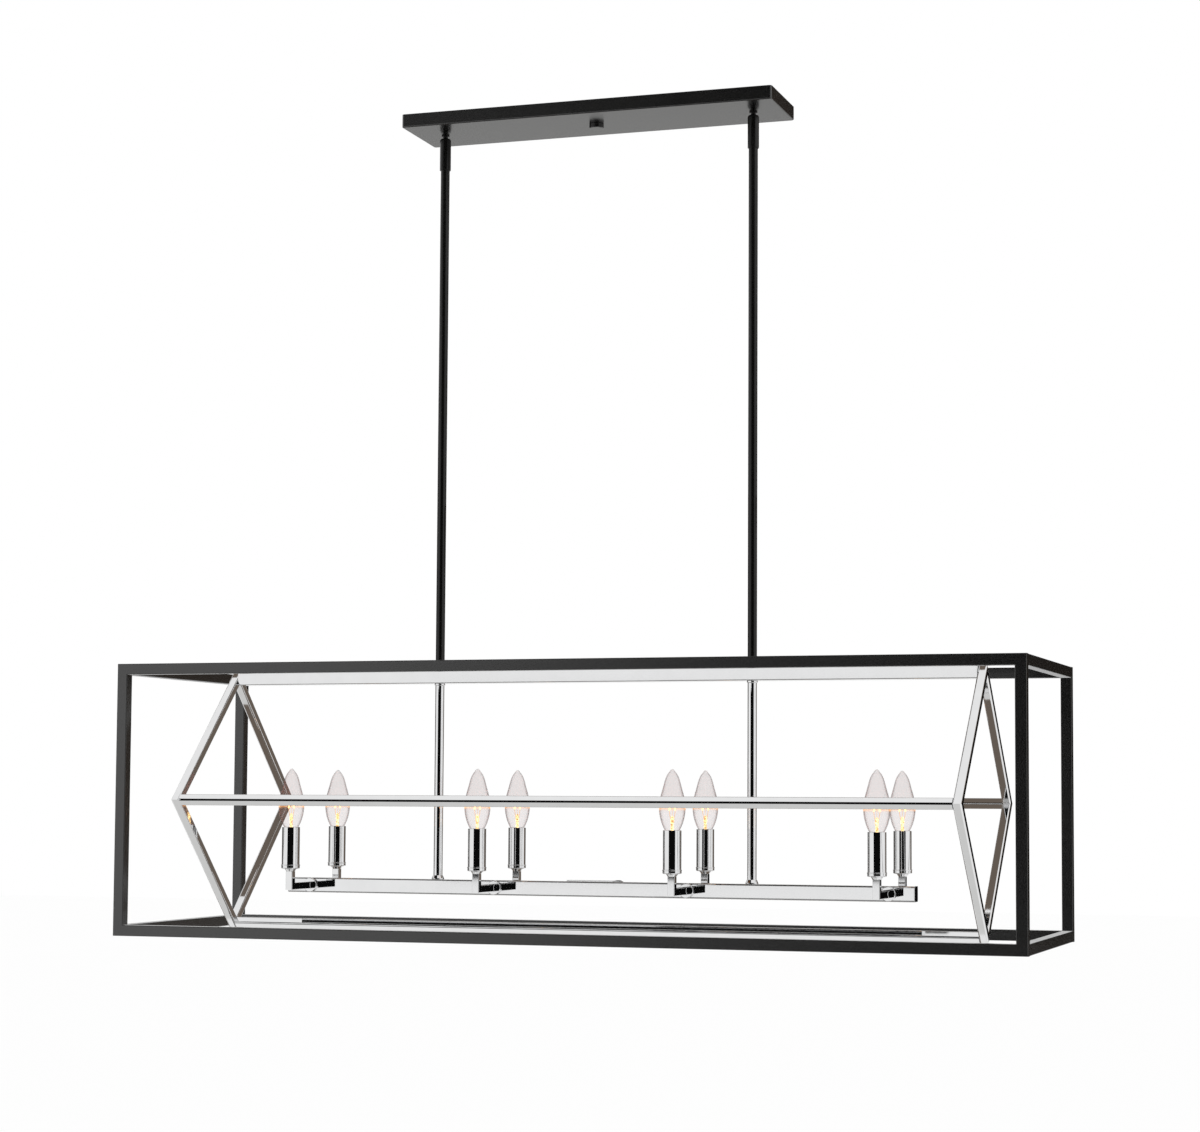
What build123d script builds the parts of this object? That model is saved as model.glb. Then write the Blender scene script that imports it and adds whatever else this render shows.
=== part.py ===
from build123d import *
import math
import os

# A linear island pendant: a black box cage, 1270 mm long, hung from a flat ceiling
# canopy by two stems, with a chrome diamond frame and eight candle lights inside it.
# Millimetres. The origin is the middle of the ceiling plane, +Z is up, X runs along
# the light, and the front is at -Y.

os.makedirs("parts", exist_ok=True)

# ---------------------------------------------------------------- driving dimensions
# canopy: a folded steel pan, open towards the ceiling
canopy_length = 542.0
canopy_width = 122.5
canopy_height = 19.0
canopy_wall = 1.2
canopy_corner = 4.0
canopy_edge = 1.8

# fixing to the ceiling box: a slotted strip, a centre stud and its nuts
ceiling_bar_length = 130.0
ceiling_bar_width = 25.0
ceiling_bar_thick = 2.5
box_screw_spacing = 88.9
box_slot_length = 14.0
box_slot_width = 4.6
lock_nut_flats = 14.0
lock_nut_thick = 3.5
thumb_nut_radius = 10.2
thumb_nut_height = 6.5
thumb_nut_edge = 1.2
thumb_nut_roof = 1.4
stud_engagement = 4.4

# lamp pipe thread, drawn plain: every stud, nipple and nut on the light uses it
pipe_radius = 4.8
pipe_bore = 3.3
pipe_fit = 0.05
hole_clearance = 0.3

# ball swivels between canopy and stems
stem_spacing = 457.2
swivel_ball_radius = 5.6
swivel_ball_flat = 5.0
swivel_ball_gap = 0.3
swivel_shank_radius = 3.3
swivel_bore = 2.3
swivel_collar_radius = 5.6
swivel_collar_height = 2.0
swivel_drop = 10.7
swivel_thread_rise = 6.5
swivel_nut_flats = 10.0
swivel_nut_thick = 3.0
swivel_washer_radius = 6.5
swivel_washer_thick = 0.8
swing_limit = 15.0

# sleeve of each swivel, which carries the stem
sleeve_radius = 7.9
sleeve_top_rise = 5.8
sleeve_dome_drop = 3.4
sleeve_dome_inset = 2.1
sleeve_lip_radius = 4.7
sleeve_mouth_radius = 5.4
sleeve_shoulder_drop = 11.0
sleeve_grip = 29.0
set_screw_radius = 2.0
set_screw_rise = 6.5
set_screw_recess = 0.15

# stems
stem_radius = 6.35
stem_wall = 1.5
stem_fit = 0.05
hang_gap = 762.0
thread_grip = 10.0

# outer cage of black square tube
cage_length = 1270.0
cage_depth = 376.0
cage_height = 376.0
cage_tube = 15.0
cage_wall = 1.2
cage_corner = 1.0

# flat straps welded across the top of the cage
strap_width = 20.0
strap_thick = 3.0
strap_recess = 1.0

# chrome diamond frame inside the cage
diamond_half = 184.0
diamond_length = 1102.8
diamond_tube = 12.0
diamond_wall = 1.0
diamond_corner = 1.1
top_rail_size = 19.0
top_rail_wall = 1.5
top_rail_corner = 1.2
cap_thick = 1.5

# rings on the lower stems
stem_ring_radius = 7.4
stem_ring_height = 3.0
stem_foot_radius = 9.0
stem_foot_top_radius = 6.9
stem_foot_height = 5.4

# light bar
bar_length = 909.2
bar_size = 21.0
bar_wall = 1.2
bar_corner = 1.0
bar_rise = 53.5
bar_nut_flats = 13.0
bar_nut_thick = 3.5
plate_length = 69.0
plate_width = 14.0
plate_thick = 1.6
plate_ear_length = 9.0
plate_ear_thick = 0.7
plate_hole_length = 48.0
plate_hole_width = 11.0
plate_screw_head_radius = 4.0
plate_screw_head_height = 1.3
plate_screw_radius = 1.7
plate_screw_length = 6.0

# candle arms: square tube with a mitred elbow
candle_pitch = 279.4
candle_columns = 4
candle_reach = 77.4
arm_tube = 10.0
arm_wall = 1.2
arm_corner = 0.8
arm_rise = 20.6
arm_collar_radius = 10.2
arm_collar_thick = 4.0
arm_lead_hole = 3.0

# candles: cup, ring, sleeve and lampholder
cup_foot_radius = 5.8
cup_top_radius = 8.5
cup_height = 4.0
ring_height = 5.6
ring_floor = 1.4
ring_wall = 0.4
ring_bead = 0.35
ring_bead_height = 1.5
candle_radius = 12.5
candle_wall = 0.8
candle_length = 56.5
candle_fit = 0.05
holder_radius = 9.5
holder_height = 49.5
holder_floor = 27.0
holder_grip = 7.0
holder_lead_hole = 3.0
shell_bore = 6.1
shell_wall = 0.4
shell_fit = 0.05
shell_lift = 3.0
contact_radius = 4.5
contact_thick = 1.5

# bulbs: candle shape, 35.8 mm wide
bulb_cap_radius = 6.0
bulb_cap_wall = 0.3
bulb_cap_length = 17.0
bulb_cap_drop = 6.5
bulb_cap_gap = 0.1
insulator_height = 2.5
insulator_foot_radius = 3.2
button_radius = 2.2
button_height = 1.4
button_gap = 0.3
neck_radius = 5.6
neck_depth = 3.5
bulb_belly_radius = 17.9
bulb_belly_rise = 29.0
bulb_mouth_radius = 10.0
bulb_waist_radius = 12.9
bulb_waist_rise = 56.1
bulb_tip_radius = 4.7
bulb_tip_rise = 77.3
bulb_height = 81.7
glass_wall = 0.8
glass_stem_radius = 2.6
glass_stem_rise = 14.0
glass_stem_foot = 2.0
filament_rise = 24.0
filament_height = 12.0
filament_radius = 1.1

# wiring
trunk_radius = 3.2
branch_radius = 1.7
branch_bend = 8.5
riser_lead_radius = 2.0
riser_lead_gap = 1.5
lead_radius = 0.9
lead_circle = 1.1
lead_bend = 8.0
lead_top_gap = 1.7
lead_turn = 60.0
wire_nut_radius = 5.5
wire_nut_tip_radius = 3.4
wire_nut_length = 18.0
wire_nut_x = 80.0
wire_nut_y = 14.0
wire_nut_lift = 0.1
ground_screw_x = 22.0
ground_screw_y = -8.0
ground_screw_radius = 1.9
ground_screw_flats = 7.0
ground_screw_head = 3.0
ground_ring_radius = 5.0
ground_ring_thick = 0.8

# ------------------------------------------------------------------ levels and places
canopy_under = -canopy_height
canopy_floor = canopy_under + canopy_wall
ball_level = canopy_under - swivel_drop
swivel_top = canopy_floor + swivel_thread_rise
sleeve_shoulder = ball_level - sleeve_shoulder_drop
sleeve_bottom = sleeve_shoulder - sleeve_grip
cage_top = canopy_under - hang_gap
cage_bottom = cage_top - cage_height
strap_top = cage_top - strap_recess
strap_bottom = strap_top - strap_thick
top_rail_bottom = strap_bottom - top_rail_size
diamond_level = strap_bottom - diamond_half
diamond_bottom = diamond_level - diamond_half
bar_bottom = diamond_bottom + bar_rise
bar_top = bar_bottom + bar_size
bar_level = bar_bottom + bar_size / 2
arm_top = bar_level + arm_rise
ring_bottom = arm_top + cup_height
holder_bottom = ring_bottom + ring_floor
holder_top = holder_bottom + holder_height
contact_level = holder_bottom + holder_floor
candle_top = holder_bottom + candle_length
bulb_cap_top = candle_top - bulb_cap_drop

stem_bore = stem_radius - stem_wall
sleeve_bore = stem_radius + stem_fit
pipe_hole = pipe_radius + pipe_fit
stem_places = (-stem_spacing / 2, stem_spacing / 2)
wired_stem = stem_places[1]
candle_places = [candle_pitch * (i - (candle_columns - 1) / 2) for i in range(candle_columns)]
candle_sides = (-1, 1)
plate_start = -plate_length / 2
plate_screw_x = plate_start + plate_length + plate_ear_length / 2


# ---------------------------------------------------------------------- plain shapes
def rod(radius, length, x=0.0, y=0.0, z=0.0):
    """Upright round bar that stands on z."""
    return Pos(x, y, z) * Cylinder(radius, length, align=(Align.CENTER, Align.CENTER, Align.MIN))


def pipe(radius, bore, length, x=0.0, y=0.0, z=0.0):
    """Upright round tube that stands on z."""
    return rod(radius, length, x, y, z) - rod(bore, length, x, y, z)


def cone(bottom_radius, top_radius, height, z=0.0):
    """Upright cone that stands on z."""
    solid = Cone(bottom_radius, top_radius, height, align=(Align.CENTER, Align.CENTER, Align.MIN))
    return Pos(0, 0, z) * solid


def plate(size_x, size_y, thick, x=0.0, y=0.0, z=0.0):
    """Flat block that stands on z."""
    return Pos(x, y, z) * Box(size_x, size_y, thick, align=(Align.CENTER, Align.CENTER, Align.MIN))


def hex_nut(flats, thick, bore, x=0.0, y=0.0, z=0.0):
    """Hexagon nut that stands on z."""
    blank = extrude(RegularPolygon(flats / 2, 6, major_radius=False), thick)
    return Pos(x, y, z) * blank - rod(bore, thick, x, y, z)


def square_tube(size, wall, corner, length):
    """Square tube along X, centred on the origin."""
    section = RectangleRounded(size, size, corner) - Rectangle(size - 2 * wall, size - 2 * wall)
    return Rot(0, 90, 0) * Pos(0, 0, -length / 2) * extrude(section, length)


def mitred_tube(size, wall, corner, length):
    """Square tube along X with both ends mitred, its long outer face on z = 0."""
    half = length / 2
    outline = Polyline((-half, 0), (half, 0), (half - size, size), (size - half, size), close=True)
    wedge = extrude(Plane.XZ * make_face(outline), size, both=True)
    return wedge & (Pos(0, 0, size / 2) * square_tube(size, wall, corner, length))


def lead(points, bends, radius):
    """Round lead along straight runs joined by arcs."""
    route = FilletPolyline(*points, radius=bends)
    return sweep(Plane(origin=route @ 0, z_dir=route % 0) * Circle(radius), path=route)


def at_stems(shape):
    return [Pos(x, 0, 0) * shape for x in stem_places]


def at_candles(shape):
    """Copies of a shape drawn for a candle at x = 0, y = +candle_reach."""
    return [
        Pos(x, 0, 0) * Rot(0, 0, 0 if side > 0 else 180) * shape
        for x in candle_places
        for side in candle_sides
    ]


# ------------------------------------------------------------------- ceiling fixings
def ceiling_bar():
    """Steel strip screwed to the ceiling box through two slots."""
    bottom = -ceiling_bar_thick
    bar = plate(ceiling_bar_length, ceiling_bar_width, ceiling_bar_thick, z=bottom)
    slot = extrude(SlotOverall(box_slot_length, box_slot_width), ceiling_bar_thick)
    for side in (-1, 1):
        bar -= Pos(side * box_screw_spacing / 2, 0, bottom) * slot
    bar -= rod(pipe_hole, ceiling_bar_thick, z=bottom)
    screw_hole = ground_screw_radius + pipe_fit
    bar -= rod(screw_hole, ceiling_bar_thick, ground_screw_x, ground_screw_y, bottom)
    return bar


def canopy_shell():
    """Folded pan with a hole for the centre stud and one for each swivel."""
    shell = plate(canopy_length, canopy_width, canopy_height, z=canopy_under)
    shell = fillet(shell.edges().filter_by(Axis.Z), canopy_corner)
    shell = fillet(shell.faces().sort_by(Axis.Z)[0].edges(), canopy_edge)
    inner_length = canopy_length - 2 * canopy_wall
    inner_width = canopy_width - 2 * canopy_wall
    hollow = plate(inner_length, inner_width, canopy_height - canopy_wall, z=canopy_floor)
    hollow = fillet(hollow.edges().filter_by(Axis.Z), canopy_corner - canopy_wall)
    hollow = fillet(hollow.faces().sort_by(Axis.Z)[0].edges(), canopy_edge - canopy_wall)
    shell -= hollow
    shell -= rod(pipe_radius + hole_clearance, canopy_wall, z=canopy_under)
    for x in stem_places:
        shell -= rod(swivel_shank_radius + hole_clearance, canopy_wall, x, z=canopy_under)
    return shell


def centre_stud():
    """Threaded stud from the ceiling bar down into the thumb nut."""
    return rod(pipe_radius, canopy_height + stud_engagement, z=canopy_under - stud_engagement)


def stud_lock_nut():
    return hex_nut(lock_nut_flats, lock_nut_thick, pipe_hole, z=-ceiling_bar_thick - lock_nut_thick)


def thumb_nut():
    """Round blind nut that is turned by hand against the underside of the canopy."""
    top = canopy_under - pipe_fit
    nut = rod(thumb_nut_radius, thumb_nut_height, z=top - thumb_nut_height)
    nut = fillet(nut.faces().sort_by(Axis.Z)[0].edges(), thumb_nut_edge)
    depth = thumb_nut_height - thumb_nut_roof
    return nut - rod(pipe_hole, depth, z=top - depth)


# --------------------------------------------------------------------------- swivels
def swivel_stud():
    """Hollow ball stud: thread above the canopy, collar and ball below it."""
    stud = rod(swivel_shank_radius, swivel_top - ball_level, z=ball_level)
    stud += rod(swivel_collar_radius, swivel_collar_height, z=canopy_under - swivel_collar_height)
    ball = Pos(0, 0, ball_level) * Sphere(swivel_ball_radius)
    flat = ball_level - swivel_ball_flat
    ball -= plate(4 * swivel_ball_radius, 4 * swivel_ball_radius, swivel_ball_radius,
                  z=flat - swivel_ball_radius)
    stud += ball
    return stud - rod(swivel_bore, swivel_top - flat, z=flat)


def swivel_washer():
    bore = swivel_shank_radius + hole_clearance
    return pipe(swivel_washer_radius, bore, swivel_washer_thick, z=canopy_floor)


def swivel_nut():
    bore = swivel_shank_radius + pipe_fit
    return hex_nut(swivel_nut_flats, swivel_nut_thick, bore, z=canopy_floor + swivel_washer_thick)


def swivel_sleeve():
    """Domed sleeve: its lip hangs on the ball, and its lower bore takes the stem."""
    top = ball_level + sleeve_top_rise
    socket = swivel_ball_radius + swivel_ball_gap
    lip_rise = math.sqrt(socket**2 - sleeve_lip_radius**2)
    dome_start = (sleeve_radius - sleeve_dome_inset, top)
    dome_end = (sleeve_radius, top - sleeve_dome_drop)
    dome_centre = (dome_start[0], dome_end[1])
    dome = EllipticalCenterArc(
        dome_centre, sleeve_dome_inset, sleeve_dome_drop, start_angle=0, arc_size=90
    )
    edges = [
        Line((sleeve_bore, sleeve_bottom), (sleeve_radius, sleeve_bottom)),
        Line((sleeve_radius, sleeve_bottom), dome_end),
        dome,
        Line(dome_start, (sleeve_mouth_radius, top)),
        Line((sleeve_mouth_radius, top), (sleeve_lip_radius, ball_level + lip_rise)),
        CenterArc((0, ball_level), socket, 0, math.degrees(math.asin(lip_rise / socket))),
        Line((socket, ball_level), (socket, sleeve_shoulder)),
        Line((socket, sleeve_shoulder), (sleeve_bore, sleeve_shoulder)),
        Line((sleeve_bore, sleeve_shoulder), (sleeve_bore, sleeve_bottom)),
    ]
    body = revolve(Plane.XZ * make_face(edges), Axis.Z)
    return body - set_screw_blank(set_screw_radius + pipe_fit, 0.0, 0.0)


def set_screw_blank(radius, inner_gap, outer_gap):
    """Round bar across the front wall of a swivel sleeve."""
    length = sleeve_radius - stem_radius - inner_gap - outer_gap
    start = Pos(0, -stem_radius - inner_gap, sleeve_bottom + set_screw_rise)
    return start * Rot(90, 0, 0) * Cylinder(
        radius, length, align=(Align.CENTER, Align.CENTER, Align.MIN)
    )


def swivel_set_screw():
    return set_screw_blank(set_screw_radius, stem_fit, set_screw_recess)


# ----------------------------------------------------------------- stems and straps
def stem_upper():
    return pipe(stem_radius, stem_bore, sleeve_shoulder - strap_top, z=strap_top)


def stem_nipple():
    """Threaded pipe that joins both stems through the strap and the top rail."""
    bottom = top_rail_bottom - thread_grip
    return pipe(pipe_radius, pipe_bore, strap_top + thread_grip - bottom, z=bottom)


def cross_strap():
    length = cage_depth - 2 * cage_tube
    strap = plate(strap_width, length, strap_thick, z=strap_bottom)
    return strap - rod(pipe_hole, strap_thick, z=strap_bottom)


def stem_ring():
    bore = stem_radius + stem_fit
    return pipe(stem_ring_radius, bore, stem_ring_height, z=top_rail_bottom - stem_ring_height)


def stem_lower():
    return pipe(stem_radius, stem_bore, top_rail_bottom - bar_top, z=bar_top)


def stem_foot():
    """Flared ring where a lower stem stands on the light bar."""
    foot = cone(stem_foot_radius, stem_foot_top_radius, stem_foot_height, bar_top)
    return foot - rod(stem_radius + stem_fit, stem_foot_height, z=bar_top)


def bar_nipple():
    """Threaded pipe from a lower stem through the top wall of the light bar."""
    bottom = bar_top - bar_wall - bar_nut_thick
    return pipe(pipe_radius, pipe_bore, bar_top + thread_grip - bottom, z=bottom)


def bar_lock_nut():
    return hex_nut(bar_nut_flats, bar_nut_thick, pipe_hole, z=bar_top - bar_wall - bar_nut_thick)


# ------------------------------------------------------------------------ outer cage
def cage_long_rails():
    rail = mitred_tube(cage_tube, cage_wall, cage_corner, cage_length)
    y = (cage_depth - cage_tube) / 2
    low = [Pos(0, side * y, cage_bottom) * rail for side in (-1, 1)]
    high = [Pos(0, side * y, cage_top) * Rot(0, 180, 0) * rail for side in (-1, 1)]
    return low + high


def cage_posts():
    post = mitred_tube(cage_tube, cage_wall, cage_corner, cage_height)
    y = (cage_depth - cage_tube) / 2
    middle = (cage_top + cage_bottom) / 2
    return [
        Pos(end * cage_length / 2, side * y, middle) * Rot(0, -90 * end, 0) * post
        for end in (-1, 1)
        for side in (-1, 1)
    ]


def cage_end_rails():
    rail = square_tube(cage_tube, cage_wall, cage_corner, cage_depth - 2 * cage_tube)
    x = (cage_length - cage_tube) / 2
    levels = (cage_bottom + cage_tube / 2, cage_top - cage_tube / 2)
    return [Pos(end * x, 0, z) * Rot(0, 0, 90) * rail for end in (-1, 1) for z in levels]


# --------------------------------------------------------------- chrome diamond frame
def diamond_struts():
    """Four mitred tubes at each end, stood on a corner."""
    side_length = diamond_half * math.sqrt(2)
    strut = mitred_tube(diamond_tube, diamond_wall, diamond_corner, side_length)
    upright = Pos(0, 0, -side_length / 2) * Rot(0, 0, 90) * strut
    x = (diamond_length - diamond_tube) / 2
    return [
        Pos(end * x, 0, diamond_level) * Rot(45 + 90 * turn, 0, 0) * upright
        for end in (-1, 1)
        for turn in range(4)
    ]


def diamond_rails():
    """Long tubes on the front, back and bottom corners, turned by 45 degrees."""
    length = diamond_length - 2 * diamond_tube
    rail = Rot(45, 0, 0) * square_tube(diamond_tube, diamond_wall, diamond_corner, length)
    reach = diamond_half - diamond_tube / math.sqrt(2)
    places = ((-reach, 0), (reach, 0), (0, -reach))
    return [Pos(0, y, diamond_level + z) * rail for y, z in places]


def top_rail():
    """Box rail on the top corner, which the stems pass through."""
    length = diamond_length - 2 * diamond_tube - 2 * cap_thick
    rail = square_tube(top_rail_size, top_rail_wall, top_rail_corner, length)
    rail = Pos(0, 0, top_rail_bottom + top_rail_size / 2) * rail
    for x in stem_places:
        rail -= rod(pipe_hole, top_rail_size, x, z=top_rail_bottom)
    return rail


def end_cap(size, corner):
    """Flat cap for a square tube, standing across X."""
    return Rot(0, 90, 0) * Pos(0, 0, -cap_thick / 2) * extrude(
        RectangleRounded(size, size, corner), cap_thick
    )


def top_rail_caps():
    x = diamond_length / 2 - diamond_tube - cap_thick / 2
    level = top_rail_bottom + top_rail_size / 2
    return [Pos(end * x, 0, level) * end_cap(top_rail_size, top_rail_corner) for end in (-1, 1)]


# ------------------------------------------------------------------------- light bar
def light_bar():
    """Square tube with holes for the stems, the arms' leads and the wiring hatch."""
    bar = square_tube(bar_size, bar_wall, bar_corner, bar_length - 2 * cap_thick)
    bar = Pos(0, 0, bar_level) * bar
    for x in stem_places:
        bar -= rod(pipe_hole, bar_wall, x, z=bar_top - bar_wall)
    lead_hole = Rot(90, 0, 0) * Cylinder(arm_lead_hole, bar_size)
    for x in candle_places:
        bar -= Pos(x, 0, bar_level) * lead_hole
    bar -= plate(plate_hole_length, plate_hole_width, bar_wall, z=bar_top - bar_wall)
    bar -= rod(plate_screw_radius + pipe_fit, bar_wall, plate_screw_x, z=bar_top - bar_wall)
    return bar


def bar_end_caps():
    x = (bar_length - cap_thick) / 2
    return [Pos(end * x, 0, bar_level) * end_cap(bar_size, bar_corner) for end in (-1, 1)]


def access_plate():
    """Cover of the wiring hatch, with a thin ear under its screw."""
    cover = plate(plate_length, plate_width, plate_thick, z=bar_top)
    ear = plate(plate_ear_length, plate_width, plate_ear_thick, plate_screw_x, z=bar_top)
    hole = rod(plate_screw_radius + hole_clearance, plate_ear_thick, plate_screw_x, z=bar_top)
    return cover + ear - hole


def plate_screw():
    head = bar_top + plate_ear_thick
    screw = rod(plate_screw_head_radius, plate_screw_head_height, plate_screw_x, z=head)
    length = plate_screw_length
    return screw + rod(plate_screw_radius, length, plate_screw_x, z=head - length)


# ----------------------------------------------------------------------- candle arms
def arm_profile(points, turned):
    """Square arm tube cut to an outline in the YZ plane, along Y or upright."""
    stock_length = 4 * candle_reach
    stock = square_tube(arm_tube, arm_wall, arm_corner, stock_length)
    stock = (Rot(0, 90, 0) if turned else Rot(0, 0, 90)) * stock
    outline = extrude(Plane.YZ * make_face(Polyline(*points, close=True)), arm_tube, both=True)
    return outline, stock


def arm_spigot():
    """Level half of an arm, from the bar's face to the mitre."""
    half = arm_tube / 2
    start = bar_size / 2
    inner = candle_reach - half
    outer = candle_reach + half
    points = ((start, -half), (outer, -half), (inner, half), (start, half))
    outline, stock = arm_profile(points, False)
    return Pos(0, 0, bar_level) * (outline & stock)


def arm_riser():
    """Upright half of an arm, from the mitre to the candle cup."""
    half = arm_tube / 2
    inner = candle_reach - half
    outer = candle_reach + half
    points = ((inner, half), (outer, -half), (outer, arm_rise), (inner, arm_rise))
    outline, stock = arm_profile(points, True)
    return Pos(0, 0, bar_level) * (outline & (Pos(0, candle_reach, 0) * stock))


def arm_collar():
    """Round trim disc against the light bar, with a square hole for the arm."""
    disc = extrude(Circle(arm_collar_radius) - Rectangle(arm_tube + stem_fit, arm_tube + stem_fit),
                   arm_collar_thick)
    return Pos(0, bar_size / 2, bar_level) * Rot(-90, 0, 0) * disc


# --------------------------------------------------------------------------- candles
def candle_cup():
    cup = cone(cup_foot_radius, cup_top_radius, cup_height, arm_top)
    return Pos(0, candle_reach, 0) * (cup - rod(pipe_hole, cup_height, z=arm_top))


def sleeve_ring():
    """Shallow cup with a beaded rim that holds the candle sleeve."""
    well = candle_radius + candle_fit
    body_radius = well + ring_wall
    ring = rod(body_radius, ring_height, z=ring_bottom)
    ring = fillet(ring.faces().sort_by(Axis.Z)[0].edges(), ring_wall)
    bead_bottom = ring_bottom + ring_height - ring_bead_height
    bead = rod(body_radius + ring_bead, ring_bead_height, z=bead_bottom)
    ring += fillet(bead.edges(), ring_bead)
    ring -= rod(well, ring_height, z=holder_bottom)
    return Pos(0, candle_reach, 0) * (ring - rod(pipe_hole, ring_height, z=ring_bottom))


def cup_nipple():
    """Threaded pipe that clamps cup, ring and lampholder together."""
    length = holder_bottom + holder_grip - arm_top
    return pipe(pipe_radius, pipe_bore, length, y=candle_reach, z=arm_top)


def candle_sleeve():
    bore = candle_radius - candle_wall
    return pipe(candle_radius, bore, candle_length, y=candle_reach, z=holder_bottom)


def lampholder():
    """Moulded holder with a well for the screw shell and a lead hole below."""
    body = rod(holder_radius, holder_height, z=holder_bottom)
    well = shell_bore + shell_wall + shell_fit
    body -= rod(well, holder_height, z=contact_level)
    body -= rod(holder_lead_hole, holder_height, z=holder_bottom)
    body -= rod(pipe_hole, holder_grip, z=holder_bottom)
    return Pos(0, candle_reach, 0) * body


def socket_shell():
    bottom = contact_level
    radius = shell_bore + shell_wall
    return pipe(radius, shell_bore, holder_top - bottom, y=candle_reach, z=bottom)


def socket_contact():
    return rod(contact_radius, contact_thick, y=candle_reach, z=contact_level)


# ----------------------------------------------------------------------------- bulbs
def bulb_outline(inset):
    """Half outline of the glass, from the neck to the tip, moved inwards by inset."""
    neck = bulb_cap_top - neck_depth
    points = (
        (neck_radius - inset, bulb_cap_top),
        (bulb_mouth_radius - inset, candle_top),
        (bulb_belly_radius - inset, candle_top + bulb_belly_rise),
        (bulb_waist_radius - inset, candle_top + bulb_waist_rise),
        (bulb_tip_radius - inset, candle_top + bulb_tip_rise),
        (0, candle_top + bulb_height - inset),
    )
    curve = Spline(*points, tangents=((0.35, 1), (-1, -0.12)))
    return Line((neck_radius - inset, neck), points[0]), curve


def bulb_glass():
    outer_neck, outer = bulb_outline(0)
    inner_neck, inner = bulb_outline(glass_wall)
    neck = bulb_cap_top - neck_depth
    edges = [
        outer_neck,
        outer,
        Line(outer @ 1, inner @ 1),
        inner,
        inner_neck,
        Line((neck_radius - glass_wall, neck), (neck_radius, neck)),
    ]
    return Pos(0, candle_reach, 0) * revolve(Plane.XZ * make_face(edges), Axis.Z)


def bulb_base():
    """Metal cap, insulator with its centre button, glass stem and filament."""
    cap_bottom = bulb_cap_top - bulb_cap_length
    cap = pipe(bulb_cap_radius, bulb_cap_radius - bulb_cap_wall, bulb_cap_length, z=cap_bottom)
    insulator_bottom = cap_bottom - insulator_height
    insulator = cone(insulator_foot_radius, bulb_cap_radius, insulator_height, insulator_bottom)
    button = rod(button_radius, button_height, z=insulator_bottom - button_height)
    stem_bottom = bulb_cap_top - neck_depth
    foot_radius = neck_radius - glass_wall - pipe_fit
    stem = rod(foot_radius, glass_stem_foot, z=stem_bottom)
    stem += rod(glass_stem_radius, candle_top + glass_stem_rise - stem_bottom, z=stem_bottom)
    filament_bottom = candle_top + glass_stem_rise
    filament_length = filament_rise + filament_height - glass_stem_rise
    filament = rod(filament_radius, filament_length, z=filament_bottom)
    return [Pos(0, candle_reach, 0) * piece for piece in (cap, insulator, button, stem, filament)]


# ---------------------------------------------------------------------------- wiring
def wiring_harness():
    """Sleeved leads: up the wired stem, along the bar, and out to every lampholder."""
    reach = candle_places[-1] - candle_places[0]
    trunk = Rot(0, 90, 0) * Cylinder(trunk_radius, reach + 2 * trunk_radius)
    harness = Pos(0, 0, bar_level) * trunk
    top = ball_level - swivel_ball_flat - riser_lead_gap
    harness += rod(riser_lead_radius, top - bar_level, wired_stem, z=bar_level)
    corner = (0, candle_reach, bar_level)
    branch = lead(((0, 0, bar_level), corner, (0, candle_reach, contact_level)),
                  branch_bend, branch_radius)
    for shape in at_candles(branch):
        harness += shape
    return harness


def lead_routes():
    """Start offset, run level and bend of the ground, line and neutral leads."""
    side = lead_circle * math.cos(math.radians(30))
    low = lead_circle / 2
    outer_level = -lead_top_gap - lead_radius
    middle = lead_bend
    return (
        ((side, -low), outer_level, middle + side),
        ((-side, -low), outer_level - 2 * side, middle - side),
        ((0, lead_circle), outer_level - side, middle),
    )


def canopy_lead(route, lane, end_x, end_level):
    """Lead from the swivel bore, over the canopy floor, to its connection."""
    (dx, dy), level, bend = route
    start_x = wired_stem + dx
    turn_x = wired_stem - lead_turn
    drop_x = turn_x - lead_turn * 0.75
    points = (
        (start_x, dy, ball_level - swivel_ball_flat),
        (start_x, dy, level),
        (turn_x, dy, level),
        (drop_x, lane, end_level),
        (end_x, lane, end_level),
    )
    return lead(points, (bend, 5 * lead_bend, 5 * lead_bend), lead_radius)


def supply_leads():
    _, line, neutral = lead_routes()
    mouth = wire_nut_x + wire_nut_length
    level = canopy_floor + wire_nut_radius + wire_nut_lift
    return [
        canopy_lead(line, -wire_nut_y, mouth, level),
        canopy_lead(neutral, wire_nut_y, mouth, level),
    ]


def wire_nuts():
    level = canopy_floor + wire_nut_radius + wire_nut_lift
    nut = Rot(0, 90, 0) * cone(wire_nut_tip_radius, wire_nut_radius, wire_nut_length)
    return [Pos(wire_nut_x, y, level) * nut for y in (-wire_nut_y, wire_nut_y)]


def ground_lead():
    """Ground lead with a ring terminal under the ceiling bar's screw."""
    ring_bottom_level = -ceiling_bar_thick - ground_ring_thick
    level = -ceiling_bar_thick - lead_radius - pipe_fit
    end_x = ground_screw_x + ground_ring_radius - ground_ring_thick
    wire = canopy_lead(lead_routes()[0], ground_screw_y, end_x, level)
    ring = pipe(ground_ring_radius, ground_screw_radius + pipe_fit, ground_ring_thick,
                ground_screw_x, ground_screw_y, ring_bottom_level)
    return wire + ring


def ground_screw():
    """Hexagon screw through the ring terminal into the ceiling bar."""
    under = -ceiling_bar_thick - ground_ring_thick
    head = extrude(RegularPolygon(ground_screw_flats / 2, 6, major_radius=False), ground_screw_head)
    screw = Pos(ground_screw_x, ground_screw_y, under - ground_screw_head) * head
    return screw + rod(ground_screw_radius, -under, ground_screw_x, ground_screw_y, under)


# -------------------------------------------------------------------------- assembly
def write_node(name, shapes):
    solids = shapes if isinstance(shapes, list) else [shapes]
    whole = solids[0] if len(solids) == 1 else Compound(children=solids)
    export_step(whole, os.path.join("parts", name + ".step"))


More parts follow.
